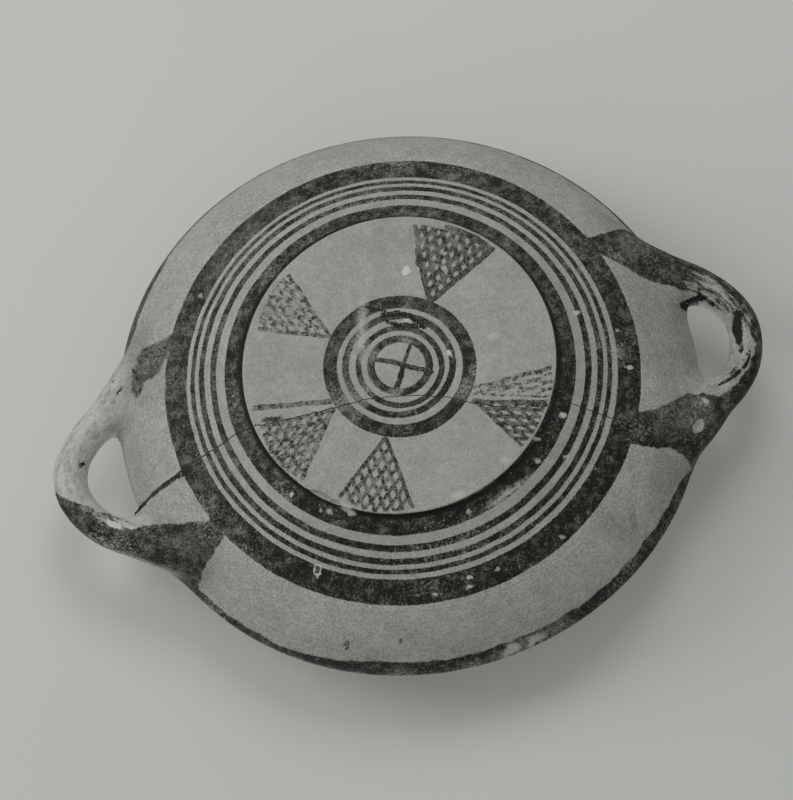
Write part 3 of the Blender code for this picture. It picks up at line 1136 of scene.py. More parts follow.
def stroke_distance(plan, x, y, u, v, start, stop):
    """How far points are from a stroke that changes its width."""
    way = np.array([u - x, v - y])
    t = np.clip((plan - (x, y)) @ way / (way @ way), 0.0, 1.0)
    away = np.hypot(*(plan - (x, y) - t[:, None] * way).T)
    return away - (start + t * (stop - start)) / 2


def outline_distance(plan, outline):
    """How far points are from an outline; less than nothing inside it."""
    near = np.full(len(plan), np.inf)
    crossings = np.zeros(len(plan), int)
    corners = np.array(outline, float)
    for p, q in zip(corners, np.roll(corners, -1, axis=0)):
        way = q - p
        t = np.clip((plan - p) @ way / (way @ way), 0.0, 1.0)
        near = np.minimum(near, np.hypot(*(plan - p - t[:, None] * way).T))
        between = (p[1] > plan[:, 1]) != (q[1] > plan[:, 1])
        with np.errstate(divide='ignore', invalid='ignore'):
            at = p[0] + way[0] * (plan[:, 1] - p[1]) / way[1]
        crossings += between & (plan[:, 0] < at)
    return np.where(crossings % 2 == 1, -near, near)


def nearest_mark(points, table, distance):
    """How far points are, in plan, from the nearest mark of a table."""
    near = np.full(len(points), NOT_NEAR)
    for side, *mark in table:
        plan = points[:, :2] * 1000 * np.array([SIDES[side], 1.0])
        near = np.minimum(near, np.where(plan[:, 0] > HANDLE_PLAN,
                                         distance(plan, *mark), NOT_NEAR))
    return near


print('strokes on the handles:', len(HANDLE_STROKES_AND_CREVICE_SHADE))


# %% Store what the paint has to know on the points
HANDLE_FADE, CREASE_WIDTH, CREASE_PAST_LIP = 0.006, 0.0070, 0.001
INNER_FROM, INNER_FACE, INNER_FADE = 0.001, 0.0012, 0.0008
SHARP = math.radians(40)


def store(name, values):
    kind = 'FLOAT' if values.ndim == 1 else 'FLOAT_VECTOR'
    layer = bowl.data.attributes.new(name, kind, 'POINT')
    key = 'value' if values.ndim == 1 else 'vector'
    layer.data.foreach_set(key, np.ascontiguousarray(values).ravel())


points = points_of(bowl.data)
body, run = true_body_distance(points)
roll = np.full(len(points), FAR)
place_on_roll = np.zeros((len(points), 3))
for side, sign in SIDES.items():
    gap, along, off = roll_distance(points, side)
    here = (gap < roll) & (points[:, 0] * sign > HANDLES_FROM)
    roll = np.where(here, gap, roll)
    place_on_roll[here] = np.column_stack([along, off])[here]
store('lip_run', (run - LIP_RUN) * 1000)
# The inner face of the wall is never handle, however near the roll's end is.
inner_face = ease((run - LIP_RUN) / INNER_FROM) * ease(
    (INNER_FACE - np.abs(body)) / INNER_FADE)
on_handle = ease(0.5 + 0.5 * (body - roll) / HANDLE_FADE)
store('handle', on_handle * (1 - inner_face))
store('along_roll', place_on_roll * 1000)
store('root_paint', nearest_mark(points, ROOT_PAINT, outline_distance))
store('handle_strokes_and_shade', nearest_mark(points, HANDLE_STROKES_AND_CREVICE_SHADE,
                                     stroke_distance))
# The creases of the joints, darkened in the slip: dirt and painted shade
crease_dirt_and_shade = ease(1.0 - (np.abs(body) + np.abs(roll)) / CREASE_WIDTH)
store('crease_dirt_and_shade', crease_dirt_and_shade * (run < LIP_RUN + CREASE_PAST_LIP))
bowl.data.set_sharp_from_angle(angle=SHARP)
print('triangles:', sum(len(p.vertices) - 2 for p in bowl.data.polygons))

# %% [markdown]
# ## A painter's kit of node groups
#
# The painter held a loaded brush against the turning bowl, so most marks are
# rings. The rest are short strokes. Each kind of mark is one node group with
# its place and size as inputs and a mask from 0 to 1 as output, so the same
# brush can be used again and again. All sizes are in millimetres.

# %% A group for rings
def group(name, inputs, outputs):
    return tree_with('ShaderNodeTree', name, inputs, outputs)


def ring_group():
    tree, b, g, end = group('brushed_ring', [
        ('Place', 'Vector', None), ('Centre', 'Vector', (0, 0, 0)),
        ('Inner', 'Float', 10.0), ('Outer', 'Float', 12.0),
        ('Oval', 'Float', 0.0), ('Oval angle', 'Float', 0.0),
        ('Softness', 'Float', 0.22)], [('Mask', 'Float')])
    point = b.vector('SUBTRACT', g['Place'], g['Centre'])
    x, y = b.part(point, (1, 0, 0)), b.part(point, (0, 1, 0))
    square = b.most(b.add(b.mul(x, x), b.mul(y, y)), 0.01)
    # cos and sin of twice the angle, without a seam
    double_cos = b.math('DIVIDE', b.sub(b.mul(x, x), b.mul(y, y)), square)
    double_sin = b.math('DIVIDE', b.mul(b.mul(x, y), 2.0), square)
    turn = b.mul(g['Oval angle'], 2.0)
    oval = b.add(b.mul(double_cos, b.math('COSINE', turn)),
                 b.mul(double_sin, b.math('SINE', turn)))
    radius = b.sub(b.math('SQRT', square), b.mul(oval, g['Oval']))
    soft = g['Softness']
    rise = b.ramp(radius, b.sub(g['Inner'], soft), b.add(g['Inner'], soft))
    fall = b.ramp(radius, b.sub(g['Outer'], soft), b.add(g['Outer'], soft),
                  1.0, 0.0)
    b.feed(end['Mask'], b.mul(rise, fall))
    return tree


# %% Groups for strokes and spots
def stroke_group():
    tree, b, g, end = group('brush_stroke', [
        ('Place', 'Vector', None), ('From', 'Vector', (0, 0, 0)),
        ('To', 'Vector', (1, 0, 0)), ('Width at start', 'Float', 1.0),
        ('Width at end', 'Float', 1.0), ('Softness', 'Float', 0.2)],
        [('Mask', 'Float')])
    flat = b.vector('MULTIPLY', g['Place'], (1, 1, 0))
    way = b.vector('SUBTRACT', g['To'], g['From'])
    from_start = b.vector('SUBTRACT', flat, g['From'])
    t = b.math('DIVIDE', b.part(from_start, way), b.part(way, way))
    t = b.most(b.least(t, 1.0), 0.0)
    foot = b.vector('SCALE', way, scale=t)
    away = b.vector('LENGTH', b.vector('SUBTRACT', from_start, foot))
    half = b.mul(b.add(b.mul(g['Width at start'], b.sub(1.0, t)),
                       b.mul(g['Width at end'], t)), 0.5)
    b.feed(end['Mask'], b.ramp(b.sub(away, half),
                               b.mul(g['Softness'], -1.0), g['Softness'],
                               1.0, 0.0))
    return tree


def spot_group():
    tree, b, g, end = group('spot', [
        ('Place', 'Vector', None), ('Centre', 'Vector', (0, 0, 0)),
        ('Half length', 'Float', 2.0), ('Half width', 'Float', 2.0),
        ('Turn', 'Float', 0.0), ('Softness', 'Float', 0.3)],
        [('Mask', 'Float')])
    point = b.vector('SUBTRACT', g['Place'], g['Centre'])
    cos, sin = b.math('COSINE', g['Turn']), b.math('SINE', g['Turn'])
    along = b.part(point, b.join(cos, sin, 0.0))
    across = b.part(point, b.join(b.mul(sin, -1.0), cos, 0.0))
    size = b.vector('LENGTH', b.join(
        b.math('DIVIDE', along, g['Half length']),
        b.math('DIVIDE', across, g['Half width']), 0.0))
    b.feed(end['Mask'], b.ramp(size, b.sub(1.0, g['Softness']),
                               b.add(1.0, g['Softness']), 1.0, 0.0))
    return tree


# %% A group for latticed triangles
def lattice_group():
    tree, b, g, end = group('latticed_triangle', [
        ('Place', 'Vector', None), ('Apex', 'Vector', (0, 0, 0)),
        ('Corner one', 'Vector', (1, 0, 0)),
        ('Corner two', 'Vector', (0, 1, 0)), ('Lines', 'Float', 6.0),
        ('Line width', 'Float', 1.7), ('Bulge', 'Float', 0.1),
        ('Softness', 'Float', 0.28)],
        [('Mask', 'Float'), ('Area', 'Float')])
    side_one = b.vector('SUBTRACT', g['Corner one'], g['Apex'])
    side_two = b.vector('SUBTRACT', g['Corner two'], g['Apex'])
    point = b.vector('SUBTRACT', g['Place'], g['Apex'])

    def crossed(p, q):
        return b.part(b.vector('CROSS_PRODUCT', p, q), (0, 0, 1))
    whole = crossed(side_one, side_two)
    one = b.math('DIVIDE', crossed(point, side_two), whole)
    two = b.math('DIVIDE', crossed(side_one, point), whole)
    masks, inside = [], None
    for share, other in ((one, side_two), (two, side_one)):
        # millimetres for each whole step of the share
        scale = b.math('ABSOLUTE', b.math('DIVIDE', whole,
                                          b.vector('LENGTH', other)))
        cell = b.math('ABSOLUTE', b.sub(
            b.math('FRACT', b.add(b.mul(share, g['Lines']), 0.5)), 0.5))
        away = b.math('DIVIDE', b.mul(cell, scale), g['Lines'])
        edge = b.sub(away, b.mul(g['Line width'], 0.5))
        masks.append(b.ramp(edge, b.mul(g['Softness'], -1.0), g['Softness'],
                            1.0, 0.0))
        past = b.add(b.mul(share, scale), b.mul(g['Line width'], 0.5))
        step = b.ramp(past, -0.25, 0.25)
        inside = step if inside is None else b.mul(inside, step)
    base = b.add(b.add(one, two), b.mul(b.mul(b.mul(one, two), -4.0),
                                        g['Bulge']))
    area = b.mul(inside, b.ramp(base, 0.985, 1.015, 1.0, 0.0))
    b.feed(end['Mask'], b.mul(b.most(*masks), area))
    b.feed(end['Area'], area)
    return tree


kit = {'ring': ring_group(), 'stroke': stroke_group(), 'spot': spot_group(),
       'lattice': lattice_group()}
print('painter\'s groups:', ', '.join(g.name for g in kit.values()))

# %% [markdown]
# ## Fired clay, and an unsteady hand
#
# Every surface here is the same fired clay: a fine grit, darker specks,
# pinholes and a cloudy tone from the kiln. That is one group, used by the
# slip, the bare clay of the chips and the dirt. A second group shakes the
# coordinates a little, slowly and quickly, so that no brushed edge is
# perfectly drawn.

# %% Groups for clay grain and for the hand's wobble
def grain_group():
    tree, b, g, end = group('clay_grain', [
        ('Place', 'Vector', None), ('Clouds', 'Float', 0.6),
        ('Grain', 'Float', 0.8), ('Specks', 'Float', 0.3),
        ('Mottle', 'Float', 0.5), ('Grit', 'Float', 0.03),
        ('Pits', 'Float', 0.08)], [('Tone', 'Float'), ('Height', 'Float')])
    clouds = b.noise(g['Place'], 0.045, 3.0, 0.6, 1.0)
    mottle = b.noise(g['Place'], 0.28, 3.0, 0.72, 5.0)
    fine = b.noise(g['Place'], 1.25, 3.0, 0.7, 3.0)
    dark = b.ramp(b.noise(g['Place'], 0.8, 2.0, 0.6, 2.0), 0.69, 0.76)
    tone = b.add(0.5, b.mul(b.sub(clouds, 0.5), g['Clouds']))
    tone = b.add(tone, b.mul(b.sub(mottle, 0.5), g['Mottle']))
    tone = b.add(tone, b.mul(b.sub(fine, 0.5), g['Grain']))
    tone = b.sub(tone, b.mul(dark, g['Specks']))
    pits = b.ramp(b.noise(g['Place'], 0.55, 1.0, 0.5, 4.0), 0.74, 0.80)
    b.feed(end['Tone'], b.most(b.least(tone, 1.0), 0.0))
    b.feed(end['Height'], b.sub(b.mul(b.sub(fine, 0.5), g['Grit']),
                                b.mul(pits, g['Pits'])))
    return tree


def hand_group():
    tree, b, g, end = group('unsteady_hand', [
        ('Place', 'Vector', None), ('Slow', 'Float', 0.3),
        ('Slow size', 'Float', 14.0), ('Quick', 'Float', 0.15),
        ('Quick size', 'Float', 1.6), ('Seed', 'Float', 0.0)],
        [('Place', 'Vector')])
    moved = g['Place']
    for amount, size in (('Slow', 'Slow size'), ('Quick', 'Quick size')):
        node = b.put('ShaderNodeTexNoise',
                     {'Vector': g['Place'],
                      'Scale': b.math('DIVIDE', 1.0, g[size]),
                      'Detail': 1.0, 'W': g['Seed']}, noise_dimensions='4D')
        push = b.vector('SUBTRACT', node.outputs['Color'], (0.5, 0.5, 0.5))
        twice = b.mul(g[amount], 2.0)
        moved = b.vector('ADD', moved, b.vector('SCALE', push, scale=twice))
    b.feed(end['Place'], moved)
    return tree


kit['grain'], kit['hand'] = grain_group(), hand_group()
print('groups in the kit:', len(kit))

# %% Named clouds, and a bench for materials
# The finish's noises: clouds per millimetre, detail, roughness and seed
CLOUDS = {
    'uneven lip': (0.11, 4.0, 0.72, 8.0), 'waver': (0.40, 3.0, 0.7, 9.0),
    'streaks': (1.0, 4.0, 0.75, 10.0), 'blotches': (1.0, 4.0, 0.75, 22.0),
    'rub': (0.75, 4.0, 0.8, 12.0), 'patches': (0.055, 2.0, 0.5, 13.0),
    'pinpricks': (1.0, 1.0, 0.5, 14.0), 'brushed': (1.0, 3.0, 0.6, 15.0),
    'smudges': (0.10, 4.0, 0.7, 16.0), 'thin': (0.22, 4.0, 0.75, 17.0),
    'dust': (0.75, 2.0, 0.6, 18.0), 'finely thin': (1.1, 3.0, 0.8, 19.0),
    'gaps': (0.55, 3.0, 0.72, 21.0), 'rough': (1.3, 2.0, 0.7, 23.0),
    'paper': (0.004, 2.0, 0.5, 5.0),
}


def flat(x, y):
    return (x, y, 0.0)


class Painter(Bench):
    """A bench in a material, with the painter's kit to hand."""

    def use(self, name, **sockets):
        node = self.put('ShaderNodeGroup', node_tree=kit[name])
        for key, value in sockets.items():
            self.feed(node.inputs[key.replace('_', ' ')], value)
        return node.outputs

    def stroke(self, place, x, y, u, v, start, stop):
        """A stroke from one point to another, as a mask."""
        return self.use('stroke', Place=place, From=flat(x, y),
                        To=flat(u, v), Width_at_start=start,
                        Width_at_end=stop)['Mask']

    def cloud(self, name, place):
        """One of the finish's named noises."""
        return self.noise(place, *CLOUDS[name])

    def pile(self, masks):
        """Masks laid over each other, each as soon as it is made."""
        result = None
        for mask in masks:
            result = mask if result is None else self.most(result, mask)
        return result

    def over(self, *masks):
        return self.pile(masks)

    def mix(self, share, first, second):
        """One number changing into another."""
        return self.put('ShaderNodeMix', {0: share, 2: first, 3: second},
                        data_type='FLOAT').outputs[0]

    def mix_colour(self, share, first, second):
        return self.put('ShaderNodeMix', {0: share, 6: first, 7: second},
                        data_type='RGBA').outputs[2]

    def reads(self, name, output='Fac'):
        return self.put('ShaderNodeAttribute',
                        attribute_name=name).outputs[output]


def start_material(material):
    """An empty material with a Principled shader, and its bench."""
    material.use_nodes = True
    tree = material.node_tree
    tree.nodes.clear()
    b = Painter(tree)
    where = b.put('ShaderNodeTexCoord').outputs['Object']
    place = b.vector('SCALE', where, scale=1000.0)
    shader = b.put('ShaderNodeBsdfPrincipled')
    b.feed(b.put('ShaderNodeOutputMaterial').inputs['Surface'],
           shader.outputs[0])
    return b, place, shader


def relief(b, height, shader):
    """Turn a height in millimetres into a bumped normal."""
    bump = b.put('ShaderNodeBump', {'Strength': 1.0, 'Distance': 0.001,
                                    'Height': height})
    b.feed(shader.inputs['Normal'], bump.outputs[0])


print('named clouds:', len(CLOUDS))

# %% [markdown]
# ## The painted slip: rings, cross and triangles
#
# The bowl's own tones are plain: a pale grey slip and a dark matt paint.
# Everything else is drawing. The rings were brushed with the bowl face down
# on the wheel, the target's rings a little off its centre. Then came the
# cross in the middle and five triangles of crossed lines, freehand.

# %% The drawing on the underside
# centre x and y, inner and outer radius, oval, and the oval's angle
RINGS = (
    (-0.3, -0.2, 99, 109.7, 0.3, -5), (0, 0, 94.8, 96.9, 0.2, -20),
    (0, 0, 90.2, 92.9, 0.2, -20), (0, 0, 84.6, 87.5, 0.3, -30),
    (0, 0, 72.3, 80.6, 0.4, -40), (0, -1.8, 28.5, 34.8, 0.2, 30),
    (0.3, -1.3, 22.6, 25.8, 0.2, 0), (-0.1, -2, 17.5, 20.2, 0.2, 60),
    (-0.2, -1.5, 11.4, 14.9, 0.2, 20),
)
# from and to, then the width at each end
CROSS = (
    (11.6, 4.9, -2.9, -2.2, 2.3, 2.5), (-2.9, -2.2, -13, -8.4, 2.5, 2.3),
    (-8, 9, -1.2, -3.2, 1.7, 2.3), (-1.2, -3.2, 4.2, -13.2, 2.3, 2.5),
)
# apex, two corners, count of lines, width, bulge of the base, wear
TRIANGLES = (
    ((-20.5, 25.5), (-22, 65), (-54, 44), 8, 2.3, 0.06, 0.35),
    ((27.7, 20), (40, 55), (59, 32), 7, 1.9, 0.08, 0.8),
    ((34.5, -15), (68, -15.5), (55, -44), 7, 2.1, 0.1, 0.65),
    ((14, -34), (40, -56.2), (9.6, -69), 7, 1.8, 0.12, 0.5),
    ((-29.5, -27), (-61, -35), (-45, -53), 6, 1.9, 0.05, 0.4),
    ((-29.5, -23), (-66, -19), (-62, -33), 4, 1.2, 0.05, 0.95),
)
# a rough scribble over the target's rings, and dirt beside the mend
SCRIBBLE = (
    (8.6, 30.3, 0.7, 25.7, 1, 1.6), (2, 24.2, -5, 23.8, 2.2, 3),
    (-5, 23.8, -10, 21, 3, 2.8), (-10, 21, -15, 14.1, 2.8, 2.2),
    (0.8, 20.6, -4.5, 17.8, 1.8, 2.2), (-4.5, 17.8, -13, 15.2, 2.2, 2.8),
)
MEND_DIRT = (
    (131, -25.2, 124, -23.2, 1, 2.6), (124, -23.2, 115, -22.2, 3, 2.6),
    (115, -22.2, 104.5, -20.8, 2.4, 3.4),
)
# longer strokes at the triangles' edges
EDGES = (
    (-36.5, 60, -48, 51, 2.4, 3.6, 0.3), (-48, 51, -53.5, 44.5, 3.4, 3, 0.2),
    (-20.5, 25.5, -54, 44, 2.4, 3, 0.1), (-20.3, 25.5, -21, 52, 2.2, 3, 0.3),
    (34.2, -10.8, 68.4, -5.4, 2.4, 2.8, 0.5),
    (34.5, -15, 55, -43.5, 3, 2, 0.6),
    (-28.7, -20.4, -66, -19.8, 1.4, 2.4, 0.75),
    (-30, -22.8, -62.4, -23.4, 1, 1.8, 0.9), (27.7, 20, 58, 31, 1.8, 1.4, 0.6),
    (27.7, 20, 36, 42, 1.8, 1.4, 0.6), (14, -34, 40, -56.2, 1.9, 1.8, 0.3),
    (14, -34, 9.6, -69, 1.9, 1.8, 0.3),
    (-29.5, -26, -45, -52.5, 1.9, 1.6, 0.5),
    (-29.5, -26.5, -60, -36.5, 2.2, 1.6, 0.5),
)
print(len(RINGS), 'rings,', len(TRIANGLES), 'triangles,',
      len(CROSS) + len(SCRIBBLE) + len(MEND_DIRT) + len(EDGES), 'strokes')


# %% Draw the marks, one after another
def worn_away(b, mask, gaps, wear):
    """A mask with a share of the gaps taken out."""
    return b.mul(mask, b.sub(1.0, b.mul(gaps, wear)))


def underside_marks(b, place, steady, freehand):
    """The marks on the underside, one after another."""
    for x, y, inner, outer, oval, turn in RINGS:
        yield b.use('ring', Place=steady, Centre=flat(x, y),
                    Inner=inner, Outer=outer, Oval=oval,
                    Oval_angle=math.radians(turn))['Mask']
    for stroke in CROSS:
        yield b.stroke(freehand, *stroke)
    gaps = b.ramp(b.cloud('gaps', place), 0.44, 0.56, 1.0, 0.0)
    for apex, one, two, lines, width, bulge, wear in TRIANGLES:
        mask = b.use('lattice', Place=freehand, Apex=flat(*apex),
                     Corner_one=flat(*one), Corner_two=flat(*two),
                     Lines=lines, Line_width=width, Bulge=bulge)['Mask']
        yield worn_away(b, mask, gaps, wear)
    for *stroke, wear in EDGES:
        yield worn_away(b, b.stroke(freehand, *stroke), gaps, wear)


def draw_dirt(b, place, freehand):
    """The scribble and the dirt beside the mend, rough and broken."""
    drawn = b.pile(b.stroke(freehand, *s) for s in SCRIBBLE + MEND_DIRT)
    return b.mul(drawn, b.ramp(b.cloud('rough', place), 0.36, 0.44))


# %% [markdown]
# ## Wear, flakes and stains
#
# Two and a half thousand years have rubbed the paint thin in places. Each
# worn place is a spot with soft, ragged edges that takes paint away; each
# stain or drip adds some. The list gives where, how large, turned how far
# and how strong.

# %% Worn places and stains
# centre, half length, half width, turn, softness, strength
WORN = (
    (11, 7.4, 4.4, 3, 60, 0.6, 0.9), (12.5, 21.5, 16, 2.7, -78, 0.6, 1),
    (15, 12.5, 5, 3.4, -60, 0.5, 1), (111, 39, 13, 7, -30, 0.6, 0.5),
    (-131, -41, 8, 4, 60, 0.7, 0.6), (-1, -133.5, 6, 1.6, 0, 0.6, 0.6),
    (32, -130.5, 7, 2, 14, 0.6, 0.6), (-20, -132, 10, 2.4, -9, 0.6, 0.7),
    (-42, -127, 8, 2.4, -18, 0.6, 0.6), (-5.6, 10.2, 3.4, 2.6, 20, 0.6, 0.9),
    (5, -13.4, 4.4, 2.2, 0, 0.6, 0.8), (20, -11, 8, 5.4, -30, 0.6, 0.85),
    (29, -12.5, 6, 4, -60, 0.6, 0.8), (-26.5, -20.5, 4, 5, 35, 0.6, 0.75),
    (25, -20.5, 6, 2.6, -40, 0.6, 0.6), (47, 40, 13, 9, -40, 0.5, 0.35),
    (52, 29.6, 3, 2.4, 0, 0.4, 0.95), (-50, -25, 15, 4, 5, 0.7, 0.4),
    (-36, -47, 9, 4, 60, 0.6, 0.5), (-21, 62, 4, 9, 0, 0.6, 0.55),
    (-34, -13, 4, 3, 60, 0.6, 0.8), (50, -10, 15, 2.4, 10, 0.6, 0.55),
    (-13.6, 43, 2.6, 2.4, 0, 0.3, 1), (49, -30, 5, 4, 0, 0.7, 0.5),
    (84, -27, 4, 3, 80, 0.5, 0.5), (-34, -70.8, 12, 1.8, -25, 0.5, 1),
    (144.4, -32, 5, 1.9, 45, 0.25, 1), (150, -25, 9, 2, 32, 0.5, 0.6),
    (60, 78, 18, 9, -35, 0.8, 0.3), (-120, -46, 14, 7, 25, 0.6, 0.5),
    (-122, 43, 16, 5, -40, 0.7, 0.4), (112, -52, 9, 6, 20, 0.7, 0.35),
)
STAINS = (
    (-20.8, 45.3, 3, 1.9, 90, 0.35, 1), (62.3, -12.6, 4.6, 1.5, 4, 0.3, 1),
    (51, 32.6, 1.7, 1.2, 0, 0.4, 1), (52.5, -114.6, 1.7, 1.3, 0, 0.4, 0.8),
    (28.9, -119.9, 1, 0.9, 0, 0.4, 0.7), (57.2, -83.2, 1.3, 1.1, 0, 0.4, 1),
)
LIME_SPOTS = (
    (-13.6, 43, 2.5, 2.3, 0, 0.2, 1), (-65.8, -40.5, 1.6, 1.4, 0, 0.3, 0.9),
    (-23.9, -1.8, 1.1, 1.4, 0, 0.3, 0.9), (61, -48.6, 1.2, 1, 0, 0.3, 0.8),
    (-8.7, -102.6, 1.2, 1, 0, 0.3, 0.7), (-15, -76, 1.2, 1, 0, 0.4, 0.6),
    (-102.8, -22, 1.4, 1.1, 0, 0.4, 0.8), (-101.5, -3, 1, 0.9, 0, 0.4, 0.5),
    (46.2, -61.3, 1.3, 1, 0, 0.4, 0.6), (50.1, -59.7, 1.1, 0.9, 0, 0.4, 0.5),
    (-53.5, -93.2, 1.1, 1, 0, 0.4, 0.5), (82, 62.6, 1.1, 1, 0, 0.4, 0.5),
    (-85.5, 6.8, 1.5, 1.3, 0, 0.4, 0.8), (-44.6, 2, 3, 1.6, 0, 0.6, 0.35),
    (-36.8, -58.4, 2.6, 2, 0, 0.6, 0.3), (-12, -68.4, 3, 1.6, 0, 0.6, 0.4),
    (-8.5, 19.4, 1.3, 0.6, 20, 0.5, 0.8), (38, -62.6, 3.6, 1.2, 32, 0.5, 0.7),
    (-31, 40.5, 1.2, 0.9, 50, 0.4, 0.6), (-33, 47, 1, 0.8, 0, 0.4, 0.6),
    (144.4, -32, 4.6, 1.5, 45, 0.25, 0.85), (13.4, 18, 15, 1.3, -78, 0.7, 0.3),
    (-34, -71, 9, 0.8, -25, 0.5, 0.4), (-19.5, -131.8, 4.5, 1.2, -9, 0.5, 0.6),
    (-31.5, -129.6, 4.5, 1.1, -14, 0.5, 0.6),
    (-63.7, -59.5, 1.5, 1, 0, 0.4, 0.6), (-6.8, -106.3, 1.1, 0.8, 0, 0.4, 0.7),
    (-21.5, -101.3, 1, 0.9, 0, 0.4, 0.6), (8.7, -106.2, 1, 0.8, 0, 0.4, 0.6),
    (-50.4, -59.7, 1.2, 1, 0, 0.4, 0.6), (-52.8, -51, 1.3, 0.9, 0, 0.4, 0.6),
    (-134, -41, 2.2, 1.2, 60, 0.5, 0.5),
)
# Smudges; the first three, on the wall beside the west handle, are painted
# shade.
SMUDGES_AND_SHADE = (
    (-120, 4, 15, 30, 0, 0.7, 0.42), (-132, -2, 5, 22, 0, 0.6, 0.55),
    (-134, 8, 5, 7, 0, 0.6, 0.6), (117, 32, 11, 16, -20, 0.7, 0.38),
    (130, 18, 3.5, 6, 0, 0.6, 0.55), (127, 2, 7, 14, 0, 0.8, 0.15),
    (159, -13, 6, 8, 0, 0.6, 0.55), (148, -20, 10, 5, 30, 0.6, 0.45),
    (-151, -29, 12, 5, 45, 0.7, 0.5), (-142, 19, 12, 4, -35, 0.7, 0.4),
    (-77, -92, 10, 5, 40, 0.6, 0.4), (-40, 52, 20, 14, 30, 0.8, 0.12),
    (-87.5, -90, 4.5, 1.8, 103, 0.5, 0.6), (-103, -82, 9, 5, -51, 0.7, 0.45),
    (160, 0, 9, 7, 90, 0.6, 0.32), (128, 34, 12, 7, -40, 0.6, 0.35),
    (152, 8, 4, 9, -20, 0.6, 0.25),
)
print(len(WORN), 'worn places,', len(STAINS), 'stains,', len(LIME_SPOTS),
      'lime spots and', len(SMUDGES_AND_SHADE), 'smudges')


def spots(b, place, table):
    """All the spots of one table, as one mask."""
    return b.pile(
        b.mul(b.use('spot', Place=place, Centre=flat(x, y),
                    Half_length=long, Half_width=wide,
                    Turn=math.radians(turn), Softness=soft)['Mask'],
              strength)
        for x, y, long, wide, turn, soft, strength in table)


# %% [markdown]
# ## Putting the slip together
#
# The material builds up as the bowl did. Slip over clay; then paint, where
# the drawing says, thinner where it is worn; then lime spots, smudges and
# dust. Painted shade darkens the foot's side and the crook at its edge, the
# joints' creases, a crevice at the west loop and the wall beside the west
# handle, and painted light pales the east handle. The relief is the clay's
# own: grit, pinholes and the brush's fine rings. One mask can't serve both
# faces of the wall, so the lip's highest line divides the drawing on the
# underside from the plainer one inside.

# %% Lay the drawing on the slip
SLIP_LIGHT, SLIP_DARK = (0.520, 0.512, 0.488, 1), (0.285, 0.280, 0.264, 1)
PAINT_DARK, PAINT_THIN = (0.012, 0.0118, 0.0098, 1), (0.205, 0.202, 0.182, 1)
LIME = (0.66, 0.655, 0.63, 1)
# The dark tone that grime and painted shade lay on the slip
SMUDGE_AND_SHADE = (0.100, 0.096, 0.088, 1)
SLIP_SPECULAR = 0.14
# Amount and size of the hand's slow and quick wobbles, in millimetres
STEADY = {'Slow': 0.45, 'Slow_size': 13.0, 'Quick': 0.34, 'Quick_size': 1.2,
          'Seed': 1.0}
FREE = {'Slow': 0.9, 'Slow_size': 9.0, 'Quick': 0.50, 'Quick_size': 1.5,
        'Seed': 2.0}
RAGGED = {'Slow': 2.2, 'Slow_size': 8.0, 'Quick': 1.1, 'Quick_size': 1.6,
          'Seed': 3.0}
# The hidden inside: a wide band, a thin one and a central disc
INNER_RINGS = ((86.0, 94.0), (99.0, 101.5), (-2.0, 15.0))

b, place, shader = start_material(slip)
shader.inputs['Specular IOR Level'].default_value = SLIP_SPECULAR
steady = b.use('hand', Place=place, **STEADY)['Place']
freehand = b.use('hand', Place=place, **FREE)['Place']
drawing = b.pile(underside_marks(b, place, steady, freehand))
dirt = draw_dirt(b, place, freehand)

# Inside or outside: the lip's highest line divides them.
lip_run = b.reads('lip_run')
handle = b.reads('handle')
inside = b.mul(b.ramp(lip_run, 0.2, 0.6), b.sub(1.0, b.ramp(handle, 0.3, 0.5)))
outside = b.sub(1.0, inside)
inner_marks = b.pile(b.use('ring', Place=steady, Inner=inner,
                           Outer=outer)['Mask']
                     for inner, outer in INNER_RINGS)
paint = b.mix(inside, b.mul(drawing, b.ramp(handle, 0.45, 0.75, 1.0, 0.0)),
              inner_marks)
print('nodes laid for the drawing:', b.laid)

# %% Paint the side of the foot, with its painted shade, and the band over the lip
# Pairs are the two ends of a soft edge, in millimetres.
FOOT_SIDE_UP = (0.7, 1.2)
FOOT_SIDE_IN, FOOT_SIDE_OUT = (70.6, 71.2), (74.5, 75.0)
LIP_FROM, LIP_TO = (-10.2, -8.8), (3.6, 4.4)
LIP_WANDER, LIP_WANDER_INSIDE = 7.0, 0.4
BEHIND_OUT, BEHIND_ALONG, BEHIND_MIDDLE = (116.0, 124.0), (26.0, 36.0), 4.0
BROADER, NARROWER, FAINTER = 3.6, 4.2, 0.45
SOUTH, NORTH_EAST = (-0.26, -0.97, 0), (0.85, 0.53, 0)

x, y, z = b.split(place)
radius = b.vector('LENGTH', b.join(x, y, 0.0))
# The foot's side is painted dark: band paint, and painted shade on the step.
foot_side_paint_and_shade = b.mul(b.mul(b.ramp(z, *FOOT_SIDE_UP),
                        b.ramp(radius, *FOOT_SIDE_IN)),
                  b.ramp(radius, *FOOT_SIDE_OUT, 1.0, 0.0))
paint = b.most(paint, b.mul(foot_side_paint_and_shade, outside))

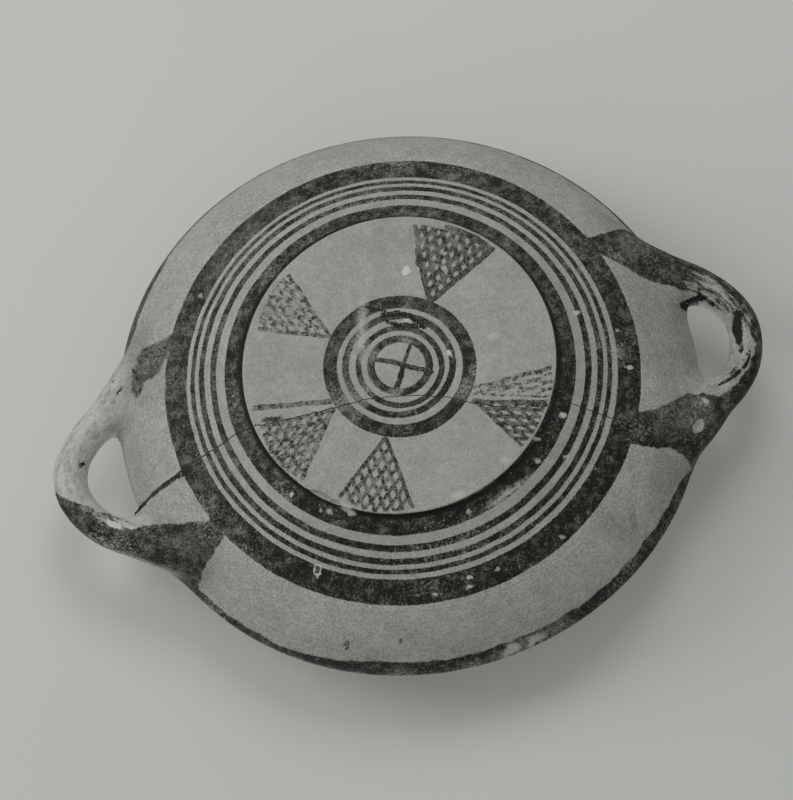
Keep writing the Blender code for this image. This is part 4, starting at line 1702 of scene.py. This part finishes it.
# The lip's band runs over the lip, uneven at both edges: broader on two
# sides, narrow and faint where a handle is in the brush's way.
uneven = b.mul(b.sub(b.cloud('uneven lip', place), 0.5), LIP_WANDER)
behind = b.mul(b.ramp(b.math('ABSOLUTE', x), *BEHIND_OUT),
               b.ramp(b.math('ABSOLUTE', b.add(y, BEHIND_MIDDLE)),
                      *BEHIND_ALONG, 1.0, 0.0))
south = b.math('DIVIDE', b.part(place, SOUTH), radius)
north_east = b.math('DIVIDE', b.part(place, NORTH_EAST), radius)
broad = b.over(b.ramp(south, 0.62, 0.85), b.ramp(north_east, 0.965, 0.985))
lower = b.sub(b.mul(broad, BROADER), b.mul(behind, NARROWER))
lip_low = b.ramp(b.add(b.add(lip_run, uneven), lower), *LIP_FROM)
lip_high = b.ramp(b.add(lip_run, b.mul(uneven, LIP_WANDER_INSIDE)), *LIP_TO,
                  1.0, 0.0)
lip_band = b.mul(b.mul(lip_low, lip_high), b.sub(1.0, b.mul(behind, FAINTER)))
lip_band = b.mul(lip_band, b.ramp(handle, 0.25, 0.5, 1.0, 0.0))
paint = b.most(paint, lip_band)
print('with the foot and the lip:', b.laid)

# %% [markdown]
# ## Dark handles, rubbed by hands
#
# The painter brushed each handle's roots dark, with a wavering edge. Hands
# have since rubbed the rolls: paint is left in streaks that follow the west
# roll and in blotches on the east one. Noise stretched along the roll makes
# both, and a cover value for each stretch says how much paint is left.

# %% Paint the roots and the handles
WAVER = 3.4
STREAK_SHAPE, BLOTCH_SHAPE = (0.09, 0.55, 0.55), (0.10, 0.26, 0.26)
OUT_OF_ROLL = (1.0, 4.5)
WEST_END = {'x': (-149.0, -127.0), 'y': (-27.0, -17.0)}
EAST_END = {'x': (90.0, 96.0), 'y': (15.0, 22.0)}
EAST_LOW = {'x': (140.0, 150.0), 'y': (-14.0, -6.0)}
# How much paint is left, on the roll's upper side and round its outside
COVER_NEAR_WALL, COVER_EAST = 0.96, 0.64
COVER_EAST_LOW, COVER_WEST_END = (0.64, 0.95), (0.50, 0.76)

root = b.reads('root_paint')
along = b.reads('along_roll', 'Vector')
waver = b.mul(b.sub(b.cloud('waver', place), 0.5), WAVER)
streaks = b.cloud('streaks', b.vector('MULTIPLY', along, STREAK_SHAPE))
outward = b.ramp(b.part(along, (0, 1, 0)), *OUT_OF_ROLL)
west_end = b.mul(b.ramp(x, *WEST_END['x'], 1.0, 0.0),
                 b.ramp(y, *WEST_END['y']))
east_end = b.mul(b.ramp(x, *EAST_END['x']), b.ramp(y, *EAST_END['y']))
blotches = b.cloud('blotches', b.vector('MULTIPLY', along, BLOTCH_SHAPE))
east_low = b.mul(b.ramp(x, *EAST_LOW['x']),
                 b.ramp(y, *EAST_LOW['y'], 1.0, 0.0))
cover = b.mix(east_end, 1.0, b.ramp(x, 112.0, 122.0, COVER_NEAR_WALL,
                                    COVER_EAST))
cover = b.mix(east_low, cover, b.mix(outward, *COVER_EAST_LOW))
cover = b.mix(west_end, cover, b.mix(outward, *COVER_WEST_END))
edge = b.math('MULTIPLY_ADD', cover, -0.42, 0.71)
kept = b.sub(b.mix(b.most(east_end, east_low), streaks, blotches), edge)
soft = b.mix(east_end, 0.065, 0.10)
kept = b.ramp(kept, b.mul(soft, -1.0), soft)
root_mask = b.mul(b.ramp(b.add(root, waver), b.mix(east_end, -0.5, -1.6), 0.5,
                         1.0, 0.0), kept)
# Single strokes on the handles, some of them painted shade in the west crevice
marks = b.ramp(b.add(b.reads('handle_strokes_and_shade'), waver), -0.4, 0.4, 1.0, 0.0)
paint = b.most(paint, b.mul(b.most(root_mask, marks), outside))
ragged = b.use('hand', Place=place, **RAGGED)['Place']
paint = b.most(paint, b.mul(b.most(dirt, spots(b, ragged, STAINS)), outside))
print('with the handles:', b.laid)

# %% [markdown]
# ## What is worn off, and what lies on top
#
# Three sizes of wear take paint away: the listed soft places, small flakes
# and pinpricks all over; the crook at the foot's edge keeps its paint whole
# as painted shade. Then the slip below gets its cloudy tone, its smudges and
# the grime of handling, with painted shade in the joints' creases and beside
# the west handle and painted light on the east handle, and lime spots and
# dust lie over everything.

# %% Wear the paint
FLAKES, PINPRICKS, WORN_EDGE = (0.545, 0.640), (0.70, 0.76), (0.40, 0.60)
FLAKE_LOSS, PINPRICK_LOSS = 0.70, 0.45
CROOK_SHADE_IN, CROOK_SHADE_OUT = (71.6, 72.4), (73.2, 75.2)
KEPT_BY_SOLID = 0.8

worn = b.mul(spots(b, ragged, WORN), outside)
rub = b.cloud('rub', place)
patches = b.cloud('patches', place)
flakes = b.ramp(b.add(b.mul(rub, 0.66), b.mul(patches, 0.34)), *FLAKES)
pinpricks = b.ramp(b.cloud('pinpricks', place), *PINPRICKS)
loss = b.over(b.mul(flakes, FLAKE_LOSS), b.mul(pinpricks, PINPRICK_LOSS),
              b.mul(worn, b.ramp(rub, *WORN_EDGE)))
# The crook at the foot's edge keeps its paint whole and unthinned as
# painted shade in the corner; so do the dirt and the single strokes.
crook_shade = b.mul(b.mul(b.ramp(radius, *CROOK_SHADE_IN),
                    b.ramp(radius, *CROOK_SHADE_OUT, 1.0, 0.0)), outside)
solid = b.over(crook_shade, dirt, marks)
left = b.sub(1.0, b.mul(loss, b.sub(1.0, b.mul(solid, KEPT_BY_SOLID))))
paint = b.mul(paint, left)
print('with the wear:', b.laid)

# %% Tone the slip, and lay the grime of handling, painted shade and painted light on it
SLIP_GRAIN = {'Clouds': 0.80, 'Mottle': 1.1, 'Specks': 1.1, 'Grit': 0.045,
              'Pits': 0.12}
GRAIN_AT_FOOT, GRAIN_AT_LIP, GRAIN_RADII = 2.4, 4.4, (76.0, 112.0)
BRUSH_LINES, BRUSH_TONE = 1.1, 0.38
GRIME_AT_LIP, GRIME_ON_HANDLES, GRIME_ELSEWHERE = 0.45, 0.5, 0.12
# Where and how far the east handle is paled: paler slip and painted light
PALE_LIT_FROM, PALE_LIT, PALE_LIT_TONE = (118.0, 134.0), (0.38, 0.60), 0.7

grain = b.use('grain', Place=place,
              Grain=b.ramp(radius, *GRAIN_RADII, GRAIN_AT_FOOT, GRAIN_AT_LIP),
              **SLIP_GRAIN)
ground = b.mix_colour(grain['Tone'], SLIP_DARK, SLIP_LIGHT)
brushed = b.cloud('brushed', b.join(b.mul(radius, BRUSH_LINES),
                                    b.mul(z, BRUSH_LINES), 0.0))
ground = b.mix_colour(b.mul(b.ramp(brushed, 0.35, 0.75), BRUSH_TONE), ground,
                      SLIP_DARK)
smudges = b.ramp(b.cloud('smudges', place), 0.50, 0.70)
near_lip = b.ramp(lip_run, -26.0, -8.0)
grime_and_shade = b.mul(smudges, b.over(b.mul(near_lip, GRIME_AT_LIP),
                               b.mul(handle, GRIME_ON_HANDLES),
                               GRIME_ELSEWHERE))
# The listed smudges, some of them painted shade beside the west handle
grime_and_shade = b.over(grime_and_shade, b.mul(b.mul(spots(b, ragged, SMUDGES_AND_SHADE), outside),
                              b.ramp(rub, 0.25, 0.75)))
# Darker in the joints' creases: dirt and painted shade.
grime_and_shade = b.over(grime_and_shade, b.mul(b.reads('crease_dirt_and_shade'), b.ramp(rub, 0.30, 0.60,
                                                        0.25, 0.75)))
ground = b.mix_colour(grime_and_shade, ground, SMUDGE_AND_SHADE)
# The east handle turns paler in blotches: paler slip, and painted light where
# it faces the light.
pale_lit_handle = b.ramp(b.add(b.mul(blotches, 0.65), b.mul(rub, 0.35)), *PALE_LIT)
pale_lit_handle = b.mul(b.mul(handle, b.ramp(x, *PALE_LIT_FROM)), pale_lit_handle)
ground = b.mix_colour(b.mul(pale_lit_handle, PALE_LIT_TONE), ground, LIME)
print('with the slip below:', b.laid)

# %% Lay the paint on, thin in places, and the lime and dust over it
THIN, THIN_LESS_SOUTH = (0.435, 0.66), 0.034
RING_CHIP = {'Centre': flat(57.3, -83.1), 'Inner': 1.5, 'Outer': 2.2}
DUST, RING_CHIP_TONE, DUST_TONE = (0.69, 0.75), 0.7, 0.6
SLIP_ROUGH, SLIP_POLISHED, PAINT_ROUGH = 0.76, 0.66, 0.54
BRUSH_DEPTH = 0.060

thinned = b.add(b.mul(b.cloud('thin', place), 0.55),
                b.mul(b.cloud('finely thin', place), 0.45))
thinned = b.sub(thinned, b.mul(b.ramp(south, -0.3, 0.9), THIN_LESS_SOUTH))
thinned = b.mul(b.ramp(thinned, *THIN), b.sub(1.0, solid))
colour = b.mix_colour(paint, ground,
                      b.mix_colour(thinned, PAINT_DARK, PAINT_THIN))
ring_chip = b.use('ring', Place=ragged, **RING_CHIP)['Mask']
lime = b.mul(b.most(spots(b, ragged, LIME_SPOTS),
                    b.mul(ring_chip, RING_CHIP_TONE)), outside)
dust = b.ramp(b.cloud('dust', place), *DUST)
colour = b.mix_colour(b.over(lime, b.mul(dust, DUST_TONE)), colour, LIME)
b.feed(shader.inputs['Base Color'], colour)

# Gloss: the paint is a little smoother than the slip.
b.feed(shader.inputs['Roughness'],
       b.mix(paint, b.ramp(grain['Tone'], 0.2, 0.8, SLIP_ROUGH,
                           SLIP_POLISHED), PAINT_ROUGH))

# Relief in millimetres.
height = b.add(grain['Height'], b.mul(b.sub(brushed, 0.5), BRUSH_DEPTH))
relief(b, height, shader)
print('nodes in the painted slip:', len(slip.node_tree.nodes))

# %% [markdown]
# ## Bare clay and dirt
#
# The chips show the clay under the slip, paler and rougher. The groove of
# the mend holds old dirt. Both use the clay's grain with other values.

# %% Bare clay in the chips, and dirt in the mend
def plain_clay(material, dark, pale, roughness, specular, **grain_values):
    """Clay with its grain and nothing painted on it."""
    b, place, shader = start_material(material)
    grain = b.use('grain', Place=place, Clouds=0.5, Grit=0.12,
                  **grain_values)
    b.feed(shader.inputs['Base Color'],
           b.mix_colour(grain['Tone'], dark, pale))
    shader.inputs['Roughness'].default_value = roughness
    shader.inputs['Specular IOR Level'].default_value = specular
    relief(b, grain['Height'], shader)


plain_clay(raw_clay, (0.14, 0.137, 0.128, 1), (0.52, 0.51, 0.485, 1),
           roughness=0.85, specular=0.25, Grain=1.6, Specks=0.5, Pits=0.16)
plain_clay(old_dirt, (0.022, 0.021, 0.019, 1), (0.105, 0.102, 0.095, 1),
           roughness=0.92, specular=0.2, Grain=1.4, Specks=0.3, Pits=0.10)
print('nodes in the bare clay:', len(raw_clay.node_tree.nodes))

# %% [markdown]
# ## The stage
#
# The bowl stands on its foot on a plain pale floor. To look at the painted
# underside the camera goes below, so the floor is a sheet that shows only
# from above, and a second sheet over the bowl, which shows only from below,
# stands behind it in that view. Neither sheet blocks or bounces light.

# %% Lay the floor and hang the backdrop
PAPER_TONE, PAPER_CLOUD = (0.66, 0.665, 0.65), 0.975
SHEET_HALF = 6.0
FLOOR_HEIGHT, BACKDROP_HEIGHT = -0.0003, 0.080


def one_sided_sheet(name, height, facing_up):
    """A sheet of pale paper that shows from one side only."""
    half = SHEET_HALF
    corners = [(-half, -half, height), (half, -half, height),
               (half, half, height), (-half, half, height)]
    order = (0, 1, 2, 3) if facing_up else (3, 2, 1, 0)
    sheet = mesh_object(name, corners, faces=[order])
    paper = bpy.data.materials.new(name + '_paper')
    b, place, shader = start_material(paper)
    dim = tuple(PAPER_CLOUD * t for t in PAPER_TONE) + (1,)
    b.feed(shader.inputs['Base Color'],
           b.mix_colour(b.ramp(b.cloud('paper', place), 0.3, 0.7), dim,
                        (*PAPER_TONE, 1)))
    shader.inputs['Roughness'].default_value = 0.9
    shader.inputs['Specular IOR Level'].default_value = 0.1
    clear = b.put('ShaderNodeBsdfTransparent')
    back = b.put('ShaderNodeNewGeometry').outputs['Backfacing']
    both = b.put('ShaderNodeMixShader', {0: back, 1: shader.outputs[0],
                                         2: clear.outputs[0]})
    out = next(n for n in paper.node_tree.nodes
               if n.type == 'OUTPUT_MATERIAL')
    b.feed(out.inputs['Surface'], both.outputs[0])
    sheet.data.materials.append(paper)
    sheet.visible_diffuse = sheet.visible_glossy = False
    sheet.visible_transmission = sheet.visible_shadow = False


one_sided_sheet('floor', FLOOR_HEIGHT, facing_up=True)
one_sided_sheet('backdrop', BACKDROP_HEIGHT, facing_up=False)
print('sheets at, metres:', FLOOR_HEIGHT, BACKDROP_HEIGHT)

# %% [markdown]
# ## Camera and light
#
# The camera looks up at the foot from below, tilted twenty degrees off the
# bowl's axis and rolled ten, with a long lens from a metre and a half away.
# A broad soft light stands beside the camera, high on its left. Another
# over the bowl is for anyone who looks at it from above.

# %% Set up the camera
TILT, ROLL_OF_VIEW = math.radians(20.6), math.radians(10.0)
TURN_OF_VIEW = math.radians(3.5)
DISTANCE, LENS, SEES_TO = 1.5, 148.2, 50.0
ASIDE, ABOVE = 0.0011, 0.0171

across = Vector((-1.0, 0.0, 0.0))
up_slope = Vector((0.0, math.cos(TILT), -math.sin(TILT)))
towards = Vector((0.0, -math.sin(TILT), -math.cos(TILT)))
right = math.cos(ROLL_OF_VIEW) * across - math.sin(ROLL_OF_VIEW) * up_slope
up = math.sin(ROLL_OF_VIEW) * across + math.cos(ROLL_OF_VIEW) * up_slope
turned = Matrix.Rotation(TURN_OF_VIEW, 3, 'Z')
right, up, towards = turned @ right, turned @ up, turned @ towards
stand = DISTANCE * towards - ASIDE * right - ABOVE * up

camera_data = bpy.data.cameras.new('camera')
camera_data.lens = LENS
camera_data.clip_end = SEES_TO
camera = bpy.data.objects.new('camera', camera_data)
bpy.context.scene.collection.objects.link(camera)
camera.matrix_world = Matrix.Translation(stand) @ Matrix(
    (right, up, towards)).transposed().to_4x4()
bpy.context.scene.camera = camera
print('camera at', [round(v, 3) for v in stand])


# %% Set up the lights
ROOM_COLOUR, ROOM_STRENGTH = (0.97, 1.0, 0.96, 1), 0.385
# Name, direction, distance, size across and power
LIGHTS = (
    ('window_light', -1.0 * right + 0.4 * up + 0.5 * towards, 1.6, 0.9, 6.6),
    ('sky_light', 1.0 * up + 0.75 * towards, 1.6, 0.9, 5.2),
    ('fill_light', -0.7 * right - 0.7 * up + 0.75 * towards, 1.6, 0.9, 1.5),
    ('top_light', (0.35, -0.45, 1.0), 1.8, 1.2, 15.0),
)


def soft_light(name, direction, distance, size, power):
    """A round soft light that faces the bowl."""
    data = bpy.data.lights.new(name, 'AREA')
    data.shape = 'DISK'
    data.size = size
    data.energy = power
    light = bpy.data.objects.new(name, data)
    bpy.context.scene.collection.objects.link(light)
    direction = Vector(direction).normalized()
    light.location = direction * distance
    light.rotation_euler = direction.to_track_quat('Z', 'Y').to_euler()


for light in LIGHTS:
    soft_light(*light)
world = bpy.data.worlds.new('room')
world.use_nodes = True
background = world.node_tree.nodes['Background']
background.inputs['Color'].default_value = ROOM_COLOUR
background.inputs['Strength'].default_value = ROOM_STRENGTH
bpy.context.scene.world = world
bpy.context.scene.view_settings.view_transform = 'Standard'
print('lights:', ', '.join(light[0] for light in LIGHTS))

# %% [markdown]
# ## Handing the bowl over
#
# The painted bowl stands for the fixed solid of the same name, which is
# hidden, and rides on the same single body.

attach(bowl, 'root')
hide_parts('bowl')
print('painted bowl:', len(bowl.data.vertices), 'points,',
      volume_and_gaps(bowl.data))
